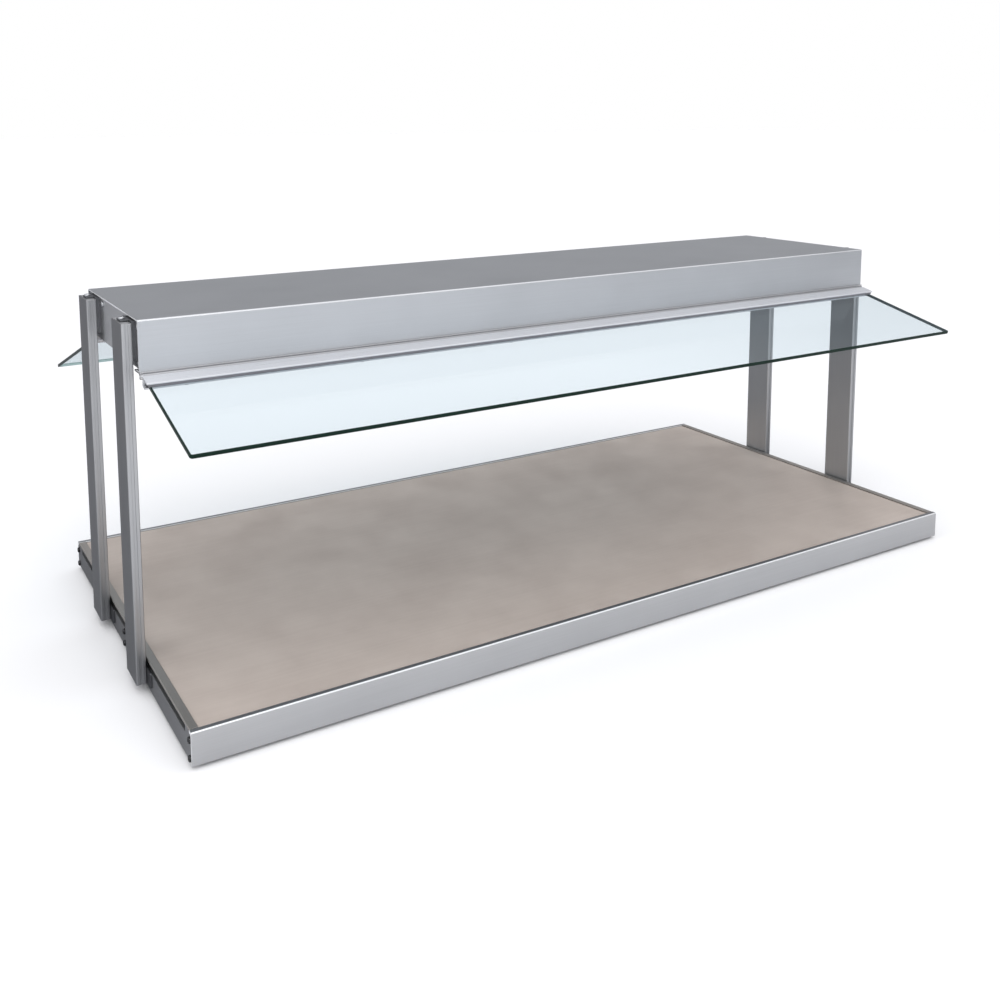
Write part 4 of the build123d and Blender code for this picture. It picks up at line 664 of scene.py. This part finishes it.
def controlKnob(name, joint, body, node):
    look = {"skirt": 15.0, "skirtHeight": 3.5, "skirtDraft": 0.2, "skirtEdge": 0.5, "flutes": 40,
            "fluteDepth": 0.5, "fluteSteps": 4, "cap": 11.0, "capHeight": 2.85, "capFoot": 0.5,
            "capDraft": 0.3, "capRound": 0.6, "gripLength": 27.0, "gripWidth": 8.0, "gripHeight": 9.5,
            "gripDraft": 0.66, "gripEdge": 0.9, "gripSteps": 12, "lineWidth": 1.3, "gripLine": 9.0,
            "gripLineAt": 6.6, "skirtLine": 1.0, "skirtLineAt": 13.9, "inkDepth": 0.08}
    knob = bmesh.new()
    steps = look["flutes"] * look["fluteSteps"]
    rim = []
    for i in range(steps):
        turn = 2 * math.pi * i / steps
        radius = look["skirt"] - look["fluteDepth"] / 2 * (1 - math.cos(look["flutes"] * turn))
        rim.append((radius * math.cos(turn), radius * math.sin(turn)))
    gather(knob, raised(rim, look["skirtHeight"], look["skirtDraft"], look["skirtEdge"]), 0)

    capRadius, capLow = look["cap"], look["skirtHeight"] - look["capFoot"]
    capTop = look["skirtHeight"] + look["capHeight"]
    crownRadius = capRadius - look["capDraft"] - look["capRound"]
    gather(knob, turned([
        (0, capLow), (capRadius, capLow), (capRadius, look["skirtHeight"]),
        (capRadius - look["capDraft"], capTop - look["capRound"]), (crownRadius, capTop), (0, capTop)]), 0)

    radius = look["gripWidth"] / 2
    reach = look["gripLength"] / 2 - radius
    outline = []
    for end in (1, -1):
        for i in range(look["gripSteps"] + 1):
            turn = math.pi * i / look["gripSteps"]
            outline.append((end * radius * math.cos(turn), end * (reach + radius * math.sin(turn))))
    grip = raised(outline, look["gripHeight"], look["gripDraft"], look["gripEdge"])
    bmesh.ops.translate(grip, vec=(0, 0, look["skirtHeight"] * mm), verts=grip.verts)
    gather(knob, grip, 0)

    gripTop = look["skirtHeight"] + look["gripHeight"]
    for length, at, under in (
            (look["gripLine"], look["gripLineAt"], gripTop),
            (look["skirtLine"], look["skirtLineAt"], look["skirtHeight"])):
        size = (look["lineWidth"], length, look["inkDepth"])
        gather(knob, block(size, (0, at, under + look["inkDepth"] / 2)), 1)
    place, seat = joints[joint]["pos_m"], extent(node)[0][0]
    bmesh.ops.transform(knob, matrix=onEnd(seat, place[1], place[2]), verts=knob.verts)
    return addPiece(name, knob, [plastics["blackPhenolic"], plastics["whiteInk"]], body,
                    [node])


controlKnob("elementKnobMoulding", "element_control_turn", "element_dial", "element_knob")
controlKnob("thermostatKnobMoulding", "thermostat_turn", "thermostat_dial", "thermostat_knob")


# Dial print on the control end: six heat settings for the elements, and a ring that widens
# clockwise for the shelf's thermostat

def dialPrint(name):
    look = {"numberRing": 20.6, "numberSize": 4.6, "offSize": 3.6, "offDrop": 0.6, "settings": 6,
            "step": 50, "tickRing": (16.4, 17.6), "tickWidth": 0.6, "ringInner": 16.4, "ringOuter": 18.6,
            "ringTip": 0.15, "ringStart": 22, "ringEnd": 270, "ringSteps": 60, "inkDepth": 0.08,
            "lift": 0.01}
    element, shelf = joints["element_control_turn"]["pos_m"], joints["thermostat_turn"]["pos_m"]
    ink = bmesh.new()

    def stamp(mesh, centre, offset, angle=0.0):
        height = look["inkDepth"] / 2 + look["lift"]
        lift = Matrix.Translation(Vector((*offset, height)) * mm)
        spun = lift @ Matrix.Rotation(math.radians(-angle), 4, "Z")
        bmesh.ops.transform(mesh, matrix=onEnd(plateFace, centre[1], centre[2]) @ spun, verts=mesh.verts)
        gather(ink, mesh, 0)

    low, high = look["tickRing"]
    for setting in range(look["settings"] + 1):
        angle = setting * look["step"]
        word, size = (str(setting), look["numberSize"]) if setting else ("OFF", look["offSize"])
        stamp(lettering(word, size, look["inkDepth"]), element, clockPoint(look["numberRing"], angle))
        tick = block((look["tickWidth"], high - low, look["inkDepth"]), (0, 0, 0))
        stamp(tick, element, clockPoint((low + high) / 2, angle), angle)
    offRing = look["numberRing"] - look["offDrop"]
    stamp(lettering("OFF", look["offSize"], look["inkDepth"]), shelf, clockPoint(offRing, 0))

    # the ring's inner line keeps its radius, and the outer one moves out clockwise from a thin tip
    crescent = bmesh.new()
    tipRadius = look["ringInner"] + look["ringTip"]
    for startRadius, endRadius in ((look["ringInner"], look["ringInner"]), (tipRadius, look["ringOuter"])):
        line = []
        for i in range(look["ringSteps"] + 1):
            share = i / look["ringSteps"]
            angle = look["ringStart"] + (look["ringEnd"] - look["ringStart"]) * share
            x, y = clockPoint(startRadius + (endRadius - startRadius) * share, angle)
            line.append(crescent.verts.new((x * mm, y * mm, 0)))
        for pair in zip(line, line[1:]):
            crescent.edges.new(pair)
    bmesh.ops.bridge_loops(crescent, edges=crescent.edges[:])
    pullUp(crescent, look["inkDepth"])
    bmesh.ops.translate(crescent, vec=(0, 0, -look["inkDepth"] / 2 * mm), verts=crescent.verts)
    stamp(crescent, shelf, (0, 0))
    return addPiece(name, ink, [plastics["blackInk"]], "cabinet")


dialPrint("dialPrint")


# Rocker marks: a bar on the upper facet and a ring on the lower one

def rockerMarks(name):
    look = {"tilt": 8.0, "facetHeight": 5.6, "facetSlope": 2.46, "spread": 5.2, "ink": 0.08, "lift": 0.03,
            "bar": (1.0, 4.2), "ring": (2.3, 1.5)}
    lean = math.radians(look["tilt"])
    x, y, z = joints["power_rocker_pivot"]["pos_m"]
    basis = onEnd(x, y, z) @ Matrix.Rotation(-lean, 4, "X")
    marks = bmesh.new()
    outer, inner = look["ring"]
    ring = turned([(inner, 0), (outer, 0), (outer, look["ink"]), (inner, look["ink"]), (inner, 0)], 40)
    bar = block((*look["bar"], look["ink"]), (0, 0, look["ink"] / 2))
    for mark, side in ((bar, 1), (ring, -1)):
        spot = Vector((0, side * look["spread"], look["facetHeight"] + look["lift"])) * mm
        slope = Matrix.Rotation(side * math.radians(look["facetSlope"]), 4, "X")
        bmesh.ops.transform(mark, matrix=basis @ Matrix.Translation(spot) @ slope, verts=mark.verts)
        gather(marks, mark, 0)
    return addPiece(name, marks, [plastics["whiteInk"]], "rocker")


rockerMarks("rockerMarks")


# Indicator lamp: a black bezel, an amber lens with pressed rings, and the body behind the plate

def indicatorLamp(name):
    look = {"bezel": 5.2, "bezelHeight": 1.4, "bezelRound": 0.4, "mouthRound": 0.3, "seat": 0.2,
            "seatGap": 0.1, "lens": 4.0, "lensGap": 0.05, "dome": 2.6, "rings": 4, "ringSteps": 6,
            "ringDepth": 0.10, "body": 18.0, "bodyFront": 0.1}
    lamp = bmesh.new()
    outer, mouth, front = look["bezel"], look["lens"], look["bezelHeight"]
    gather(lamp, turned([
        (mouth, -look["seat"]), (mouth, front - look["mouthRound"]), (mouth + look["mouthRound"], front),
        (outer - look["bezelRound"], front), (outer, front - look["bezelRound"]), (outer, 0),
        (mouth + look["seatGap"], 0), (mouth, -look["seat"])]), 1)
    radius = look["lens"] - look["lensGap"]
    steps = look["rings"] * look["ringSteps"]
    lens = [(0, 0), (radius, 0), (radius, front)]
    for i in range(1, steps):
        share = i / steps
        height = front + look["dome"] * math.sin(share * math.pi / 2)
        dent = look["ringDepth"] * abs(math.sin(2 * math.pi * look["rings"] * share)) * (1 - share)
        lens.append((radius * math.cos(share * math.pi / 2), height - dent))
    lens.append((0, front + look["dome"]))
    gather(lamp, turned(lens), 0)
    back = -look["body"]
    gather(lamp, turned([(0, back), (mouth, back), (mouth, look["bodyFront"]), (0, look["bodyFront"])]), 1)
    low, high = extent("indicator_lamp")
    place = onEnd(plateFace, (low[1] + high[1]) / 2, (low[2] + high[2]) / 2)
    bmesh.ops.transform(lamp, matrix=place, verts=lamp.verts)
    return addPiece(name, lamp, [plastics["amberLens"], plastics["blackNylon"]], "cabinet",
                    ["indicator_lamp"])


indicatorLamp("indicatorLamp")


# Steatite collars on the elements' legs, where they go through the bulkhead

def elementCollars(name):
    look = {"radius": 6.6, "flange": 3.6, "round": 0.5, "step": 0.3, "neck": 5.4, "length": 9.0,
            "bore": 4.1, "sheath": 4.0}
    rounded, length = look["round"], look["length"]
    shoulder = look["flange"] + rounded
    profile = [
        (look["bore"], 0), (look["radius"], 0), (look["radius"], look["flange"]),
        (look["radius"] - rounded, shoulder), (look["neck"], shoulder + look["step"]),
        (look["neck"], length - rounded), (look["neck"] - rounded, length), (look["bore"], length),
        (look["bore"], 0)]
    inward = Matrix.Rotation(math.pi, 4, "Y")
    collars = bmesh.new()
    seat = extent("wiring_bulkhead")[0][0]
    for node in ("front_heating_element", "rear_heating_element"):
        low, high = extent(node)
        height = (low[2] + high[2]) / 2
        for y in (low[1] + look["sheath"] * mm, high[1] - look["sheath"] * mm):
            collar = turned(profile, 48)
            bmesh.ops.transform(collar, matrix=onEnd(seat, y, height) @ inward, verts=collar.verts)
            gather(collars, collar, 0)
    return addPiece(name, collars, [plastics["glazedSteatite"]], "cabinet")


elementCollars("elementCollars")


# Painted shade: a black strip in the channel under each end trim, standing in for the gap's deep shade

def heatBreak(name):
    look = {"thickness": 1.6, "margin": 0.3, "edge": 0.3, "halfLength": 242.0, "wallInset": 6.6,
            "floorDrop": 10.5, "roofDrop": 2.0}
    strips = bmesh.new()
    railLow, railHigh = extent("front_rail")
    middle = (railLow[1] + extent("rear_rail")[1][1]) / 2 / mm
    wall, top = railHigh[0] / mm - look["wallInset"], railHigh[2] / mm
    low, high = top - look["floorDrop"] + look["margin"], top - look["roofDrop"] - look["margin"]
    size = (look["thickness"], 2 * look["halfLength"], high - low)
    for end in (-1, 1):
        centre = (end * (wall + look["thickness"] / 2), middle, (low + high) / 2)
        gather(strips, block(size, centre, look["edge"]), 0)
    return addPiece(name, strips, [plastics["channelShadeBlack"]], "cabinet")


heatBreak("channelShadeStrips")


# Under the base: pressed stiffening ribs in the pan and a bare plate with four small rivets

def underside(name):
    look = {"ribs": 4, "ribSpacing": 96.0, "rib": (900.0, 11.0, 2.6), "ribEdge": 1.2,
            "plate": (74.0, 42.0, 0.6), "plateX": 330.0, "plateEdge": 0.2, "rivet": 1.5,
            "rivetHeight": 0.7, "rivetShoulder": (0.7, 0.5), "rivetInset": 4.5}
    panLow, panHigh = extent("bottom_pan")
    middle, under = (panLow[1] + panHigh[1]) / 2 / mm, panLow[2] / mm
    ribs = bmesh.new()
    for i in range(look["ribs"]):
        y = middle + (i - (look["ribs"] - 1) / 2) * look["ribSpacing"]
        gather(ribs, block(look["rib"], (0, y, under), look["ribEdge"]), 0)
    addPiece(name + "Ribs", ribs, [zincSheet], "cabinet")

    plate = bmesh.new()
    length, width, thickness = look["plate"]
    centre = (look["plateX"], middle, under - thickness / 2)
    gather(plate, block(look["plate"], centre, look["plateEdge"]), 0)
    shoulderShare, shoulderHeight = look["rivetShoulder"]
    profile = [(0, 0), (look["rivet"], 0), (look["rivet"] * shoulderShare, shoulderHeight),
               (0, look["rivetHeight"])]
    down = Matrix.Rotation(math.pi, 4, "X")
    alongX, alongY = length / 2 - look["rivetInset"], width / 2 - look["rivetInset"]
    for dx in (-alongX, alongX):
        for dy in (-alongY, alongY):
            rivet = turned(profile, 24)
            spot = Vector((look["plateX"] + dx, middle + dy, under - thickness)) * mm
            bmesh.ops.transform(rivet, matrix=Matrix.Translation(spot) @ down, verts=rivet.verts)
            gather(plate, rivet, 0)
    return addPiece(name + "Plate", plate, [metals["brushedAluminiumProfile"]], "cabinet")


underside("pan")
print("stage: small pieces")


# Studio: a pale floor and a pale room that is brightest overhead and in front. Each blend names an
# axis and where one tone gives way to the next: metres on the floor, a direction's share in the room.
studio = {
    "floorSize": 80.0, "floorColour": "f0f0f1", "mirroredBehind": "97989b", "mirroredFront": "f0f1f3",
    "mirroredRight": "a0a1a3", "floorBlends": {"near": ("Y", -0.1, -0.6), "side": ("X", 1.9, 3.0)},
    "backdrop": "ffffff", "back": (0.22, 0.22, 0.23, 1), "backLeft": (0.95, 0.95, 0.97, 1),
    "high": (1.25, 1.25, 1.28, 1), "front": (0.97, 0.97, 0.98, 1),
    "frontRight": (0.62, 0.62, 0.63, 1), "overhead": (1.42, 1.42, 1.44, 1),
    "roomBlends": {
        "front": ("Y", 0.45, -0.55), "right": ("X", 0.52, 0.85), "left": ("X", -0.4, -0.7),
        "high": ("Z", 0.46, 0.56), "top": ("Z", 0.6, 0.92)},
}
floorMesh = bmesh.new()
bmesh.ops.create_grid(floorMesh, x_segments=2, y_segments=2, size=studio["floorSize"] / 2)
floorData = bpy.data.meshes.new("studioFloor")
floorMesh.to_mesh(floorData)
floorMesh.free()
floor = bpy.data.objects.new("studioFloor", floorData)
bpy.context.scene.collection.objects.link(floor)
# matt floor paint: almost white to the eye; only what metal mirrors of it is painted greyer, behind and to
# the right, as painted reflection
floorPaint, floorTree = newMaterial("paleFloorPaint")
floorPlace = addNode(floorTree, "SeparateXYZ", {0: addNode(floorTree, "TexCoord").outputs["Object"]})
floorShares = {}
for name, (axis, start, end) in studio["floorBlends"].items():
    floorShares[name] = addNode(floorTree, "MapRange", {
        "Value": floorPlace.outputs[axis], "From Min": start, "From Max": end}).outputs[0]
mirroredAhead = addNode(floorTree, "Mix", {
    "Factor": floorShares["side"], "A": hexToLinear(studio["mirroredFront"]),
    "B": hexToLinear(studio["mirroredRight"])}, data_type="RGBA")
mirrored = addNode(floorTree, "Mix", {
    "Factor": floorShares["near"], "A": hexToLinear(studio["mirroredBehind"]),
    "B": mirroredAhead.outputs[2]}, data_type="RGBA")
# painted reflection: glossy rays see the greyer floor tone
floorTone = addNode(floorTree, "Mix", {
    "Factor": addNode(floorTree, "LightPath").outputs["Is Glossy Ray"],
    "A": hexToLinear(studio["floorColour"]), "B": mirrored.outputs[2]}, data_type="RGBA")
floorSurface = addNode(floorTree, "BsdfDiffuse", {"Color": floorTone.outputs[2]})
addNode(floorTree, "OutputMaterial", {"Surface": floorSurface.outputs[0]})
floorData.materials.append(floorPaint)

world = bpy.data.worlds.new("studioRoom")
bpy.context.scene.world = world
world.use_nodes = True
room = world.node_tree
room.nodes.clear()
toward = addNode(room, "SeparateXYZ", {0: addNode(room, "TexCoord").outputs["Generated"]})
roomShares = {}
for name, (axis, start, end) in studio["roomBlends"].items():
    roomShares[name] = addNode(room, "MapRange", {
        "Value": toward.outputs[axis], "From Min": start, "From Max": end}).outputs[0]
frontWall = addNode(room, "Mix", {
    "Factor": roomShares["right"], "A": studio["front"], "B": studio["frontRight"]}, data_type="RGBA")
backWall = addNode(room, "Mix", {
    "Factor": roomShares["left"], "A": studio["back"], "B": studio["backLeft"]}, data_type="RGBA")
walls = addNode(room, "Mix", {
    "Factor": roomShares["front"], "A": backWall.outputs[2], "B": frontWall.outputs[2]}, data_type="RGBA")
upper = addNode(room, "Mix", {
    "Factor": roomShares["high"], "A": walls.outputs[2], "B": studio["high"]}, data_type="RGBA")
whole = addNode(room, "Mix", {
    "Factor": roomShares["top"], "A": upper.outputs[2], "B": studio["overhead"]}, data_type="RGBA")
seen = addNode(room, "Mix", {
    "Factor": addNode(room, "LightPath").outputs["Is Camera Ray"], "A": whole.outputs[2],
    "B": hexToLinear(studio["backdrop"])}, data_type="RGBA")
roomLight = addNode(room, "Background", {"Color": seen.outputs[2], "Strength": 1.0})
addNode(room, "OutputWorld", {"Surface": roomLight.outputs[0]})

softboxLook = {"at": (-0.9, -2.4, 2.3), "aim": (0, 0, 0.2), "size": 1.8, "power": 28}
softbox = bpy.data.lights.new("keySoftbox", "AREA")
softbox.shape = "SQUARE"
softbox.size = softboxLook["size"]
softbox.energy = softboxLook["power"]
stand = bpy.data.objects.new("keySoftbox", softbox)
stand.location = softboxLook["at"]
aim = Vector(softboxLook["aim"]) - Vector(softboxLook["at"])
stand.rotation_euler = aim.to_track_quat("-Z", "Y").to_euler()
bpy.context.scene.collection.objects.link(stand)

# Camera: the photograph is a crop with its centre off the object, hence the shift. Its place is
# set from the middle of the warmer, half way between the two hinges.
middleY = (joints["front_guard_hinge"]["pos_m"][1] + joints["rear_guard_hinge"]["pos_m"][1]) / 2
cameraLook = {
    "at": (-0.795075, middleY - 1.193166, 0.604661), "turn": (82.98214, 0.30857, -30.19648), "lens": 38.316,
    "sensor": 36.0, "shift": (0.045, -0.25), "clip": (0.02, 200.0),
}
lensData = bpy.data.cameras.new("productCamera")
lensData.lens = cameraLook["lens"]
lensData.sensor_width = cameraLook["sensor"]
lensData.shift_x, lensData.shift_y = cameraLook["shift"]
lensData.clip_start, lensData.clip_end = cameraLook["clip"]
camera = bpy.data.objects.new("productCamera", lensData)
camera.location = cameraLook["at"]
camera.rotation_euler = [math.radians(angle) for angle in cameraLook["turn"]]
bpy.context.scene.collection.objects.link(camera)
bpy.context.scene.camera = camera
bpy.context.scene.view_settings.view_transform = "Standard"
print("stage: studio and camera")

bpy.context.view_layer.update()
